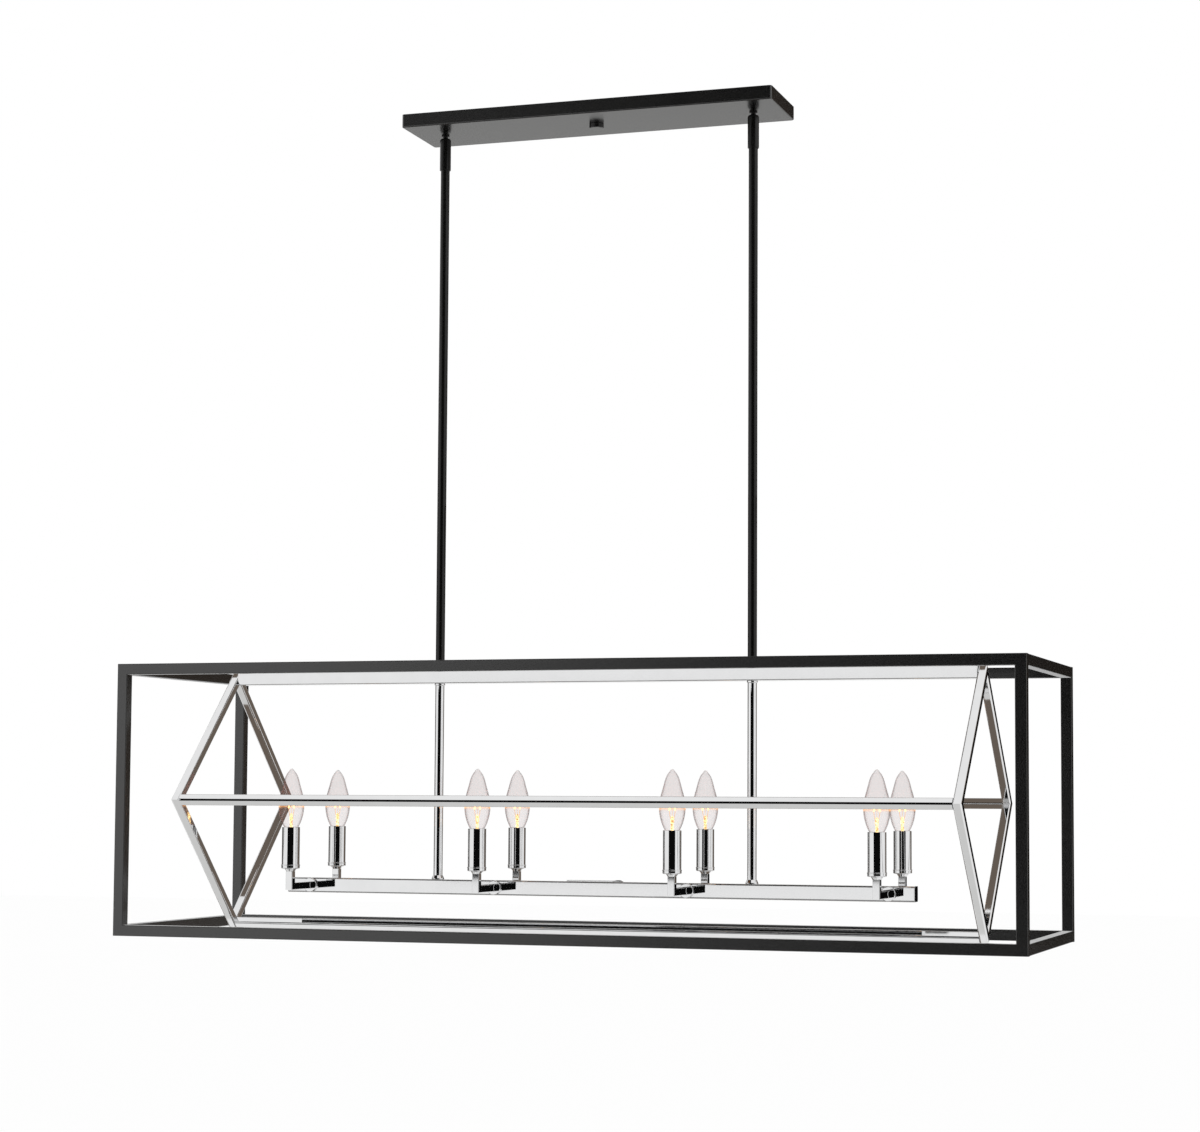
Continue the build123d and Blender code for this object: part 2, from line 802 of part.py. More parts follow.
nodes = {
    "ceiling_bar": ceiling_bar(),
    "canopy_shell": canopy_shell(),
    "centre_stud": centre_stud(),
    "stud_lock_nut": stud_lock_nut(),
    "thumb_nut": thumb_nut(),
    "swivel_studs": at_stems(swivel_stud()),
    "swivel_washers": at_stems(swivel_washer()),
    "swivel_nuts": at_stems(swivel_nut()),
    "supply_leads": supply_leads(),
    "wire_nuts": wire_nuts(),
    "ground_lead": ground_lead(),
    "ground_screw": ground_screw(),
    "swivel_sleeves": at_stems(swivel_sleeve()),
    "swivel_set_screws": at_stems(swivel_set_screw()),
    "upper_stems": at_stems(stem_upper()),
    "stem_nipples": at_stems(stem_nipple()),
    "cross_straps": at_stems(cross_strap()),
    "cage_long_rails": cage_long_rails(),
    "cage_posts": cage_posts(),
    "cage_end_rails": cage_end_rails(),
    "diamond_struts": diamond_struts(),
    "diamond_rails": diamond_rails(),
    "top_rail": top_rail(),
    "top_rail_caps": top_rail_caps(),
    "stem_rings": at_stems(stem_ring()),
    "lower_stems": at_stems(stem_lower()),
    "stem_feet": at_stems(stem_foot()),
    "bar_nipples": at_stems(bar_nipple()),
    "bar_lock_nuts": at_stems(bar_lock_nut()),
    "light_bar": light_bar(),
    "bar_end_caps": bar_end_caps(),
    "access_plate": access_plate(),
    "plate_screw": plate_screw(),
    "arm_spigots": at_candles(arm_spigot()),
    "arm_risers": at_candles(arm_riser()),
    "arm_collars": at_candles(arm_collar()),
    "candle_cups": at_candles(candle_cup()),
    "sleeve_rings": at_candles(sleeve_ring()),
    "cup_nipples": at_candles(cup_nipple()),
    "candle_sleeves": at_candles(candle_sleeve()),
    "lampholders": at_candles(lampholder()),
    "socket_shells": at_candles(socket_shell()),
    "socket_contacts": at_candles(socket_contact()),
    "wiring_harness": wiring_harness(),
}
for number, glass in enumerate(at_candles(bulb_glass()), start=1):
    nodes["bulb_%d_glass" % number] = glass
for number, pieces in enumerate(zip(*[at_candles(piece) for piece in bulb_base()]), start=1):
    nodes["bulb_%d_base" % number] = list(pieces)

for name, shapes in nodes.items():
    write_node(name, shapes)
print(len(nodes), "nodes")
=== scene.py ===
import math

import bpy
from mathutils import Matrix, Vector


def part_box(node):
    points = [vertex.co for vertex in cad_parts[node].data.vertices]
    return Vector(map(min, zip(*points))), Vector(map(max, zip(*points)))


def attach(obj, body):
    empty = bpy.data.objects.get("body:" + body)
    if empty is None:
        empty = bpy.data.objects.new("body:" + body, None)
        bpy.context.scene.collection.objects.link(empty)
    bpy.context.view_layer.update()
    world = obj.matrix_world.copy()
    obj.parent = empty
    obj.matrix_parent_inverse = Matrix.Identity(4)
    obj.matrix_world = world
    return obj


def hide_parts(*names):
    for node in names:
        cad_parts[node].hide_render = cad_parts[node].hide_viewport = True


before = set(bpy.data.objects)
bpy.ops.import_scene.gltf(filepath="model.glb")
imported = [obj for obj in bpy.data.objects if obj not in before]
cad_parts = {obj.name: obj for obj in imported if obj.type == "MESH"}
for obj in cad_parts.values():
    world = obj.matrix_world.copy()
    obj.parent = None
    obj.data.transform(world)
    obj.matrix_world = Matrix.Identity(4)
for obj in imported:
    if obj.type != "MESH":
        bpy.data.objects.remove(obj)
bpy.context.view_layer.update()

# Camera: a short telephoto at the height of the cage, right of the light's middle. It
# looks a little up and to the left, so that the canopy's underside is in view.

scene = bpy.context.scene


def add_object(name, data):
    """A new object in the scene."""
    made = bpy.data.objects.new(name, data)
    scene.collection.objects.link(made)
    return made


camera_data = bpy.data.cameras.new("camera")
camera_data.sensor_width = 36.0
camera_data.lens = 79.285
camera_data.shift_x = -0.03997
camera_data.shift_y = 0.03673
camera_turn = -0.3118
camera_pitch = 0.0709
camera_roll = 0.0048
camera = add_object("camera", camera_data)
camera.matrix_world = (Matrix.Translation((1.1940, -3.4585, -0.9633))
                       @ Matrix.Rotation(-camera_turn, 4, "Z")
                       @ Matrix.Rotation(math.pi / 2 + camera_pitch, 4, "X")
                       @ Matrix.Rotation(camera_roll, 4, "Z"))
scene.camera = camera
scene.view_settings.view_transform = "Standard"

# --------------------
# Studio light: white all round at a plain level, with one large softbox from the left
# and a smaller one from the right. Mirrors see the white room and not the boxes.


class Wire:
    """An output socket of a node tree; sums and products of it add Math nodes."""

    def __init__(self, tree, socket=None):
        self.tree = tree
        self.socket = socket

    def node(self, kind, settings=(), sockets=(), out=0):
        """Adds a node: first its settings, then the values or links of its sockets."""
        made = self.tree.nodes.new(kind)
        for name, value in dict(settings).items():
            setattr(made, name, value)
        for name, value in dict(sockets).items():
            if isinstance(value, Wire):
                self.tree.links.new(value.socket, made.inputs[name])
            else:
                made.inputs[name].default_value = value
        return Wire(self.tree, made.outputs[out] if made.outputs else None)

    def maths(self, operation, first, second):
        return self.node("ShaderNodeMath", {"operation": operation}, {0: first, 1: second})

    def __add__(self, other):
        return self.maths("ADD", self, other)

    def __sub__(self, other):
        return self.maths("SUBTRACT", self, other)

    def __rsub__(self, other):
        return self.maths("SUBTRACT", other, self)

    def __mul__(self, other):
        return self.maths("MULTIPLY", self, other)

    __radd__ = __add__
    __rmul__ = __mul__


def new_material(name):
    """An empty node material and the Wire that its nodes start from."""
    material = bpy.data.materials.new(name)
    material.use_nodes = True
    material.node_tree.nodes.clear()
    return material, Wire(material.node_tree)


def show(wire, shader):
    wire.node("ShaderNodeOutputMaterial", sockets={"Surface": shader})


world = bpy.data.worlds.new("studio")
world.use_nodes = True
world.node_tree.nodes.clear()
scene.world = world
air = Wire(world.node_tree)
sky = air.node("ShaderNodeBackground", sockets={"Color": (1.0, 1.0, 1.0, 1.0), "Strength": 1.0})
air.node("ShaderNodeOutputWorld", sockets={"Surface": sky})


def softbox(name, place, target, width, height, watts):
    """A rectangular studio light aimed at a point."""
    data = bpy.data.lights.new(name, "AREA")
    data.shape = "RECTANGLE"
    data.size = width
    data.size_y = height
    data.energy = watts
    lamp = add_object(name, data)
    aim = (Vector(target) - Vector(place)).to_track_quat("-Z", "Y")
    lamp.matrix_world = Matrix.Translation(place) @ aim.to_matrix().to_4x4()
    lamp.visible_glossy = False


cage_middle = (0, 0, -0.8)
softbox("key_softbox", (-3.7, -3.6, -0.8), cage_middle, 3.0, 3.0, 28.0)
softbox("side_softbox", (4.2, 0.2, -0.6), cage_middle, 1.0, 2.2, 8.0)

# --------------------
# Studio floor: pale painted boards, 2.4 m below the ceiling. Cameras and mirrors see
# them nearly as white as the room, and views from beneath look through them.


def object_place(paint):
    """Where a point lies in its piece, in metres."""
    return paint.node("ShaderNodeTexCoord", out="Object")


def grain(paint, scale, detail=2.0):
    """Noise in the piece's own metres, about 0.5 on average."""
    return paint.node("ShaderNodeTexNoise", sockets={
        "Vector": object_place(paint), "Scale": scale, "Detail": detail})


def blend(paint, share, first, second):
    """A colour between two others, each of which is a tuple or a Wire."""
    ends = [colour if isinstance(colour, Wire) else (*colour, 1.0) for colour in (first, second)]
    return paint.node("ShaderNodeMix", {"data_type": "RGBA"}, {0: share, 6: ends[0], 7: ends[1]}, out=2)


def level_corners(left, right, front, back, level):
    """Corners of a level sheet, between two places along X and two along Y."""
    return [(left, front, level), (right, front, level), (right, back, level), (left, back, level)]


def stage_sheet(name, corners, material):
    """A flat sheet of the studio, which isn't part of the light."""
    mesh = bpy.data.meshes.new(name)
    mesh.from_pydata(corners, [], [(0, 1, 2, 3)])
    mesh.materials.append(material)
    sheet = add_object(name, mesh)
    return sheet


floor_level = -2.4
floor_reach = 30.0
floor_paint, paint = new_material("studio_floor")
floor_tone = blend(paint, grain(paint, 60.0, 3.0), (0.86, 0.86, 0.86), (0.90, 0.90, 0.90))
matt = paint.node("ShaderNodeBsdfDiffuse", sockets={"Color": floor_tone, "Roughness": 1.0})
glow = paint.node("ShaderNodeEmission", sockets={"Color": (1.0, 1.0, 1.0, 1.0), "Strength": 1.0})
paths = [paint.node("ShaderNodeLightPath", out=name)
         for name in ("Is Camera Ray", "Is Glossy Ray", "Is Transmission Ray")]
whiteness = 0.90
seen = whiteness * paint.maths("MINIMUM", paths[0] + paths[1] + paths[2], 1.0)
from_above = paint.node("ShaderNodeMixShader", sockets={0: seen, 1: matt, 2: glow})
show(paint, paint.node("ShaderNodeMixShader", sockets={
    0: paint.node("ShaderNodeNewGeometry", out="Backfacing"), 1: from_above,
    2: paint.node("ShaderNodeBsdfTransparent")}))
stage_sheet("floor", level_corners(-floor_reach, floor_reach, -floor_reach, floor_reach, floor_level),
            floor_paint)

# --------------------
# Flags: dark, brown and pale sheets that a photographer stands round chrome to draw its edges; here
# they are painted reflections. Only mirrors see them: they are hidden from the camera and throw no
# shadow.


def flag(name, corners, tone):
    """A flat sheet between four corners that only mirrors see."""
    material, paint = new_material("flag_" + name)
    show(paint, paint.node("ShaderNodeEmission", sockets={"Color": (*tone, 1.0)}))
    sheet = stage_sheet("flag_" + name, corners, material)
    sheet.visible_camera = False
    sheet.visible_diffuse = False
    sheet.visible_transmission = False
    sheet.visible_shadow = False


black_flag = (0.004, 0.004, 0.004)
grey_flag = (0.014, 0.014, 0.014)
pale_flag = (0.120, 0.115, 0.108)
brown_flag = (0.160, 0.130, 0.107)
light_flag = (0.600, 0.600, 0.590)
white_flag = (0.730, 0.730, 0.720)

# Standing flags: each reaches between two bearings, in degrees from the front towards +X.
near, far = 6.5, 12.0
foot, head = -2.3, 2.2
for name, left, right, distance, low, high, tone in (
        ("behind_camera", -5, 56, near, foot, head, black_flag),
        ("beside_camera", -24, -5, near, -1.27, -0.55, black_flag),
        ("high_beside_camera", -17, -5, near, -0.40, head, black_flag),
        ("low_beside_camera", -17, -5, near, foot, -1.41, black_flag),
        ("right_rear", 162, 177, far, foot, 6.0, black_flag),
        ("right", 125, 162, far, foot, 6.0, brown_flag),
        ("left", -142, -84, 4.5, -2.0, 0.2, pale_flag)):
    ends = [(distance * math.sin(math.radians(side)), -distance * math.cos(math.radians(side)))
            for side in (left, right)]
    flag(name, [(*ends[0], low), (*ends[1], low), (*ends[1], high), (*ends[0], high)], tone)

# Level flags: left, right, front and back edge, and height.
over_floor = -2.38
over_dark_sheet = -2.375
under_bar = -1.32
for name, left, right, front, back, level, tone in (
        ("above_front", -6.6, 0.1, -12.0, -0.55, 2.5, grey_flag),
        ("under_front", -3.0, 0.4, -2.6, -0.62, over_floor, grey_flag),
        ("far_floor", -6.0, 2.0, 5.0, 13.0, over_floor, light_flag),
        ("above_back", -0.85, 0.55, 0.004, 0.45, -0.55, brown_flag),
        ("under_back", -0.85, 0.55, 0.010, 0.45, under_bar, brown_flag),
        ("under_bar", -0.57, 0.43, -0.036, -0.006, under_bar, black_flag),
        ("floor_under_front", -1.6, 0.6, -0.60, 0.05, over_dark_sheet, white_flag)):
    flag(name, level_corners(left, right, front, back, level), tone)

# A black strip just before the front mid rail, seen only in the chrome, paints a dark reflected line
# along its corner.
strip_end, strip_y = 0.540, -0.1885
strip_low, strip_high = -0.976, -0.962
flag("painted_line_before_front_rail", [(-strip_end, strip_y, strip_low), (strip_end, strip_y, strip_low),
                           (strip_end, strip_y, strip_high), (-strip_end, strip_y, strip_high)],
     black_flag)

# --------------------
# Crossbar, centre stud, lock nut and green ground screw: pressed and turned steel,
# zinc plated with a grey, slightly cloudy look. They are screwed to the ceiling box
# and hidden by the canopy.


def surface(paint, sockets):
    """Shows a Principled shader with these sockets."""
    show(paint, paint.node("ShaderNodeBsdfPrincipled", sockets=sockets))


def relief(paint, height, strength, depth):
    """Surface relief from a height, with its depth in metres."""
    return paint.node("ShaderNodeBump", sockets={"Strength": strength, "Distance": depth,
                                                 "Height": height})


def plated_metal(name, dark, light, roughness, spread):
    """Metal with a cloudy plating: two tones and a roughness that drifts between them."""
    material, paint = new_material(name)
    cloud = grain(paint, 90.0, 4.0)
    surface(paint, {
        "Base Color": blend(paint, cloud, dark, light),
        "Metallic": 1.0,
        "Roughness": roughness + spread * (cloud - 0.5),
        "Normal": relief(paint, grain(paint, 1800.0), 0.15, 0.0001),
    })
    return material


def repaint(material, *nodes):
    """Gives CAD pieces that keep their shape their finish."""
    for name in nodes:
        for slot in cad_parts[name].material_slots:
            slot.material = material


zinc = plated_metal("zinc_steel_finish", (0.42, 0.43, 0.45), (0.60, 0.61, 0.62), 0.34, 0.24)
green = plated_metal("green_steel_finish", (0.05, 0.22, 0.09), (0.09, 0.34, 0.15), 0.38, 0.16)
repaint(zinc, "ceiling_bar", "centre_stud", "stud_lock_nut", "swivel_washers", "swivel_nuts",
        "stem_nipples", "bar_nipples", "bar_lock_nuts", "cup_nipples")
repaint(green, "ground_screw")

# --------------------
# Canopy: a shallow pan folded from 1.2 mm steel with soft outer edges, powder coated
# satin black. The thumb nut presses it against the ceiling.

MM = 0.001


def span(node):
    """The lowest and the highest corner of a CAD node, in millimetres."""
    return [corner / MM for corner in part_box(node)]


def at(x, y, z):
    """A place that is given in millimetres."""
    return Matrix.Translation((x * MM, y * MM, z * MM))


class Skin:
    """Faces in millimetres with exact corner normals, joined into one mesh."""

    def __init__(self, place=Matrix.Identity(4)):
        self.points = []
        self.numbers = {}
        self.faces = []
        self.normals = []
        self.finishes = []
        self.finish = 0
        self.place = place

    def face(self, points, normals):
        """Adds a face; corners within a micrometre of each other become one."""
        tilt = self.place.to_3x3()
        grid = 1e6
        corners = []
        for point, normal in zip(points, normals):
            point = self.place @ (Vector(point) * MM)
            key = tuple(round(c * grid) for c in point)
            number = self.numbers.setdefault(key, len(self.points))
            if number == len(self.points):
                self.points.append(point)
            if number not in [corner[0] for corner in corners]:
                corners.append((number, (tilt @ Vector(normal)).normalized()))
        if len(corners) < 3:
            return
        ring = [self.points[number] for number, _ in corners]
        facing = Vector((0, 0, 0))
        for here, there in zip(ring, ring[1:] + ring[:1]):
            facing += (here - ring[0]).cross(there - ring[0])
        if facing.dot(sum((normal for _, normal in corners), Vector((0, 0, 0)))) < 0:
            corners.reverse()
        self.faces.append([number for number, _ in corners])
        self.normals += [normal for _, normal in corners]
        self.finishes.append(self.finish)

    def band(self, first, second, closed=True):
        """Quads between two rows of corners, each a point and its normal."""
        pairs = list(zip(first, second))
        following = pairs[1:] + pairs[:1] if closed else pairs[1:]
        for (a, d), (b, c) in zip(pairs, following):
            self.face(*zip(a, b, c, d))

    def mesh(self, name, *materials):
        """The plain mesh of these faces."""
        mesh = bpy.data.meshes.new(name)
        mesh.from_pydata([tuple(point) for point in self.points], [], self.faces)
        mesh.shade_smooth()
        mesh.polygons.foreach_set("material_index", self.finishes)
        mesh.normals_split_custom_set([tuple(normal) for normal in self.normals])
        for material in materials:
            mesh.materials.append(material)
        return mesh


def piece(name, mesh, body, slot, *nodes):
    """A finished piece of the light: it rides on its body and stands for CAD nodes."""
    made = add_object(name, mesh)
    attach(made, body)
    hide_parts(*nodes)
    return made


def arc(centre, width, height, start, end, steps):
    """Points along an arc of an ellipse, each with its normal."""
    line = []
    for step in range(steps + 1):
        angle = start + (end - start) * step / steps
        x, y = math.cos(angle), math.sin(angle)
        line.append((Vector((centre[0] + width * x, centre[1] + height * y)),
                     Vector((height * x, width * y)).normalized()))
    return line


def edges_along(line):
    """Edges between points that carry their normals."""
    return [(a, normal_a, b, normal_b) for (a, normal_a), (b, normal_b) in zip(line, line[1:])]


def soft_outline(points, radii, closed=True):
    """Edges of an outline whose corners are rounded, with the normals at both ends.
    The outline runs with the material on its left."""
    corner_steps = 4
    count = len(points)
    stops = []
    for number, (point, radius) in enumerate(zip(points, radii)):
        here = Vector(point)
        if radius == 0 or (not closed and number in (0, count - 1)):
            stops.append([(here, None)])
            continue
        before = (Vector(points[number - 1]) - here).normalized()
        after = (Vector(points[(number + 1) % count]) - here).normalized()
        half = before.angle(after) / 2
        centre = here + (before + after).normalized() * radius / math.sin(half)
        first, last = [here + way * radius / math.tan(half) - centre for way in (before, after)]
        start = math.atan2(first.y, first.x)
        sweep = math.atan2(first.cross(last), first.dot(last))
        stops.append([(spot, normal * math.copysign(1, sweep)) for spot, normal in
                      arc(centre, radius, radius, start, start + sweep, corner_steps)])
    edges = []
    for stop, following in zip(stops, stops[1:] + stops[:1] if closed else stops[1:] + [None]):
        edges += edges_along(stop)
        if following:
            a, b = stop[-1][0], following[0][0]
            run = b - a
            if run.length > 1e-6:
                flat = Vector((run.y, -run.x)).normalized()
                edges.append((a, flat, b, flat))
    return edges


def round_plan(steps):
    """Spokes of a circle: the centre that each starts from and its direction."""
    return [(0.0, 0.0, math.cos(2 * math.pi * k / steps), math.sin(2 * math.pi * k / steps))
            for k in range(steps)]


def box_plan(size_x, size_y, corner, steps=4):
    """Spokes of a rectangle with round corners; a spoke of that radius ends on its outline."""
    spokes = []
    for quarter, (sx, sy) in enumerate(((1, 1), (-1, 1), (-1, -1), (1, -1))):
        for step in range(steps + 1):
            angle = math.pi / 2 * (quarter + step / steps)
            spokes.append((sx * (size_x / 2 - corner), sy * (size_y / 2 - corner),
                           math.cos(angle), math.sin(angle)))
    return spokes


def turn(skin, edges, plan):
    """Carries an outline of radius and height round a plan."""
    for a, normal_a, b, normal_b in edges:
        skin.band(*[[((cx + dx * end.x, cy + dy * end.x, end.y),
                      (dx * normal.x, dy * normal.x, normal.y)) for cx, cy, dx, dy in plan]
                    for end, normal in ((a, normal_a), (b, normal_b))])


def lids(skin, radius, low, high, plan):
    """Flat faces across a plan, one facing down at its foot and one facing up at its top."""
    for height, up in ((low, -1), (high, 1)):
        skin.face([(cx + dx * radius, cy + dy * radius, height) for cx, cy, dx, dy in plan],
                  [(0, 0, up)] * len(plan))


def satin_black(name, shine):
    """Satin powder coat: nearly black, a fine orange peel and faint warmer specks."""
    material, paint = new_material(name)
    fine = grain(paint, 1500.0)
    broad = grain(paint, 22.0, 3.0)
    peel = grain(paint, 700.0, 1.0)
    surface(paint, {
        "Base Color": blend(paint, 0.6 * fine + 0.4 * broad, (0.0016, 0.0015, 0.0014),
                            (0.0046, 0.0043, 0.0038)),
        "Roughness": 0.19 + 0.08 * fine + 0.06 * (broad - 0.5),
        "Specular IOR Level": shine,
        "Normal": relief(paint, peel + 0.4 * fine, 0.08, 0.00006),
    })
    return material


black = satin_black("satin_black_finish", 1.0)
low, high = span("canopy_shell")
canopy_corner = 4.0
canopy_wall = 1.2
canopy_edge = 1.8
canopy_lid = 0.5
canopy_height = high.z - low.z
skin = Skin(at(0, 0, low.z))
plan = box_plan(high.x - low.x, high.y - low.y, canopy_corner, 6)
inside = canopy_corner - canopy_wall
canopy_outline = soft_outline(
    [(canopy_lid, 0), (canopy_corner, 0), (canopy_corner, canopy_height), (inside, canopy_height),
     (inside, canopy_wall), (canopy_lid, canopy_wall)],
    [0, canopy_edge, 0.3, 0.3, canopy_edge - canopy_wall, 0], closed=False)
turn(skin, canopy_outline, plan)
lids(skin, canopy_lid, 0.0, canopy_wall, plan)
piece("canopy", skin.mesh("canopy", black), "canopy", "satin_black", "canopy_shell")

# --------------------
# Thumb nut: a blind nut turned from round steel and powder coated with the canopy.
# It is turned by hand on the centre stud until the canopy is tight.


def turned(points, radii, steps, place=Matrix.Identity(4)):
    """A round piece: an outline with softened corners, turned about an upright axis.
    An outline that starts on the axis also ends on it, and stays open there."""
    skin = Skin(place)
    turn(skin, soft_outline(points, radii, closed=points[0][0] > 0), round_plan(steps))
    return skin


low, high = span("thumb_nut")
nut_radius = (high.x - low.x) / 2
nut_height = high.z - low.z
nut_bore = 4.85
bore_end = nut_height - 5.1
nut_points = [(0, 0), (nut_radius, 0), (nut_radius, nut_height), (nut_bore, nut_height),
              (nut_bore, bore_end), (0, bore_end)]
skin = turned(nut_points, [0, 1.0, 0.4, 0.3, 0, 0], 96, at(0, 0, low.z))
piece("thumb_nut_turned", skin.mesh("thumb_nut_turned", black), "thumb_nut", "satin_black", "thumb_nut")

# --------------------
# Leads in the canopy: stranded wire in black and white PVC, a bare copper ground wire
# with its ring terminal, and two twist-on connectors of orange moulded plastic.

insulation, paint = new_material("lead_insulation_finish")
lane = paint.node("ShaderNodeSeparateXYZ", sockets={"Vector": object_place(paint)}, out="Y")
between_leads = 0.0006
white_lead = paint.maths("GREATER_THAN", lane, between_leads)
scuff = grain(paint, 400.0, 3.0)
surface(paint, {
    "Base Color": blend(paint, white_lead,
                        blend(paint, scuff, (0.010, 0.010, 0.011), (0.022, 0.022, 0.024)),
                        blend(paint, scuff, (0.66, 0.65, 0.62), (0.78, 0.77, 0.74))),
    "Roughness": 0.38 + 0.2 * (scuff - 0.5), "Normal": relief(paint, scuff, 0.2, 0.0001)})
repaint(insulation, "supply_leads")
repaint(plated_metal("bare_copper_finish", (0.58, 0.24, 0.12), (0.80, 0.42, 0.26), 0.30, 0.2),
        "ground_lead")


def moulded(name, dark, light, roughness):
    """Moulded plastic with a fine, even surface."""
    material, paint = new_material(name)
    haze = grain(paint, 260.0, 3.0)
    surface(paint, {
        "Base Color": blend(paint, haze, dark, light),
        "Roughness": roughness + 0.16 * (haze - 0.5),
        "Normal": relief(paint, grain(paint, 1500.0), 0.18, 0.00008)})
    return material


repaint(moulded("wire_nut_plastic_finish", (0.78, 0.24, 0.03), (0.90, 0.32, 0.05), 0.42), "wire_nuts")

# --------------------
# Ball swivels: a turned steel ball stud hangs through the canopy at each stem, and a
# domed sleeve rides on the ball. Their black powder coat is duller than the canopy's.


def row_tree():
    """Geometry Nodes: copies a piece along X, and again turned round for the front side."""
    tree = bpy.data.node_groups.new("row_of_pieces", "GeometryNodeTree")
    given = {}
    start = Wire(tree)
    for name, kind in (("Geometry", "Geometry"), ("Count", "Int"), ("Pitch", "Float"),
                       ("Both Sides", "Bool"), ("Finish", "Material")):
        tree.interface.new_socket(name, in_out="INPUT", socket_type="NodeSocket" + kind)
        given[name] = start.node("NodeGroupInput", out=name)
    tree.interface.new_socket("Geometry", in_out="OUTPUT", socket_type="NodeSocketGeometry")
    first = (given["Count"] - 1.0) * given["Pitch"] * -0.5
    line = start.node("GeometryNodeMeshLine", {"mode": "OFFSET"}, {
        "Count": given["Count"],
        "Start Location": start.node("ShaderNodeCombineXYZ", sockets={"X": first}),
        "Offset": start.node("ShaderNodeCombineXYZ", sockets={"X": given["Pitch"]})})
    both = tree.nodes.new("GeometryNodeJoinGeometry")
    for side in ({}, {"Selection": given["Both Sides"], "Rotation": (0.0, 0.0, math.pi)}):
        copies = start.node("GeometryNodeInstanceOnPoints", sockets={
            "Points": line, "Instance": given["Geometry"], **side})
        tree.links.new(copies.socket, both.inputs[0])
    real = start.node("GeometryNodeRealizeInstances", sockets={
        "Geometry": Wire(tree, both.outputs[0])})
    coat = start.node("GeometryNodeSetMaterial", sockets={
        "Geometry": real, "Material": given["Finish"]})
    start.node("NodeGroupOutput", sockets={"Geometry": coat})
    return tree


rows = row_tree()


def in_row(name, skin, material, count, pitch, both_sides):
    """Repeats a piece with the Geometry Nodes tree and returns the plain mesh."""
    source = add_object(name, skin.mesh(name))
    rule = source.modifiers.new("row", "NODES")
    rule.node_group = rows
    values = {"Count": count, "Pitch": pitch, "Both Sides": both_sides, "Finish": material}
    for item in rows.interface.items_tree:
        if item.in_out == "INPUT" and item.name in values:
            rule[item.identifier] = values[item.name]
    graph = bpy.context.evaluated_depsgraph_get()
    made = bpy.data.meshes.new_from_object(source.evaluated_get(graph), depsgraph=graph)
    made.name = name
    source.modifiers.remove(rule)
    bpy.data.objects.remove(source)
    return made


stem_pitch = 0.4572


def at_stems(name, skin, material, slot, node, body="hanger"):
    """One piece at both stems."""
    return piece(name, in_row(name, skin, material, 2, stem_pitch, False), body, slot, node)


dull_black = satin_black("dull_black_finish", 0.35)
canopy_under = -19.0
ball_level = -29.7
ball_radius = 5.6
ball_foot = 5.0
stud_collar_radius = 5.6
stud_collar_low = canopy_under - 2.0
stud_shank_radius = 3.3
stud_bore = 2.3
stud_top = -11.3
ball_rise = math.sqrt(ball_radius ** 2 - stud_shank_radius ** 2)
ball_foot_radius = math.sqrt(ball_radius ** 2 - ball_foot ** 2)
edges = edges_along(arc((0, ball_level), ball_radius, ball_radius, math.asin(-ball_foot / ball_radius),
                        math.asin(ball_rise / ball_radius), 16))
edges += soft_outline(
    [(stud_shank_radius, ball_level + ball_rise), (stud_shank_radius, stud_collar_low),
     (stud_collar_radius, stud_collar_low), (stud_collar_radius, canopy_under),
     (stud_shank_radius, canopy_under), (stud_shank_radius, stud_top), (stud_bore, stud_top),
     (stud_bore, ball_level - ball_foot), (ball_foot_radius, ball_level - ball_foot)],
    [0, 0.2, 0.5, 0.2, 0, 0.3, 0.2, 0.3, 0], closed=False)
skin = Skin()
turn(skin, edges, round_plan(64))
at_stems("ball_studs", skin, dull_black, "satin_black", "swivel_studs", body="canopy")

# --------------------
# Swivel sleeves: domed steel sleeves over the balls, bored for the stems, each locked
# by a socket set screw at the front. The same dull black powder coat.

low, high = span("swivel_sleeves")
sleeve_radius = (high.y - low.y) / 2
sleeve_top = high.z
sleeve_bottom = low.z
stem_radius = 6.35
stem_fit = 0.05
stem_hole = stem_radius + stem_fit
socket_radius = 5.9
shoulder = -40.7
dome_width, dome_height = 2.1, 3.4
mouth_radius = 4.9
mouth_low = ball_level + 3.4
dome = arc((sleeve_radius - dome_width, sleeve_top - dome_height), dome_width, dome_height,
           0.0, math.pi / 2, 8)
edges = edges_along(dome)
edges += soft_outline([dome[-1][0], (mouth_radius, sleeve_top), (mouth_radius, mouth_low),
                       (socket_radius, ball_level), (socket_radius, shoulder), (stem_hole, shoulder),
                       (stem_hole, sleeve_bottom), (sleeve_radius, sleeve_bottom), dome[0][0]],
                      [0, 0.3, 0, 0, 0, 0, 0.3, 0.5, 0], closed=False)
skin = Skin()
turn(skin, edges, round_plan(72))
at_stems("swivel_sleeves_domed", skin, dull_black, "satin_black", "swivel_sleeves")

low, high = span("swivel_set_screws")
screw_radius, screw_depth = 2.0, 1.3
key_radius, key_depth = 0.95, 0.6
place = at(0, -sleeve_radius, (low.z + high.z) / 2) @ Matrix.Rotation(math.pi / 2, 4, "X")
skin = turned([(0, -screw_depth), (screw_radius, -screw_depth), (screw_radius, 0), (key_radius, 0),
               (key_radius, -key_depth), (0, -key_depth)],
              [0, 0, 0.25, 0.15, 0, 0], 32, place)
at_stems("set_screws_socket", skin, dull_black, "satin_black", "swivel_set_screws")

# --------------------
# Stems: 12.7 mm steel tube. The upper ones are satin black and screw down on the
# cross straps, flat steel bars that are welded between the top rails of the cage.


def wall(inner, outer, low, high):
    """Outline of a ring or tube, from its two radii and the heights of its ends."""
    return [(inner, low), (outer, low), (outer, high), (inner, high)]


def slab(skin, plan, corner, low, high, radii, middle=0.4):
    """A flat plate with softened edges."""
    turn(skin, soft_outline(wall(middle, corner, low, high), [0, *radii, 0], closed=False), plan)
    lids(skin, middle, low, high, plan)


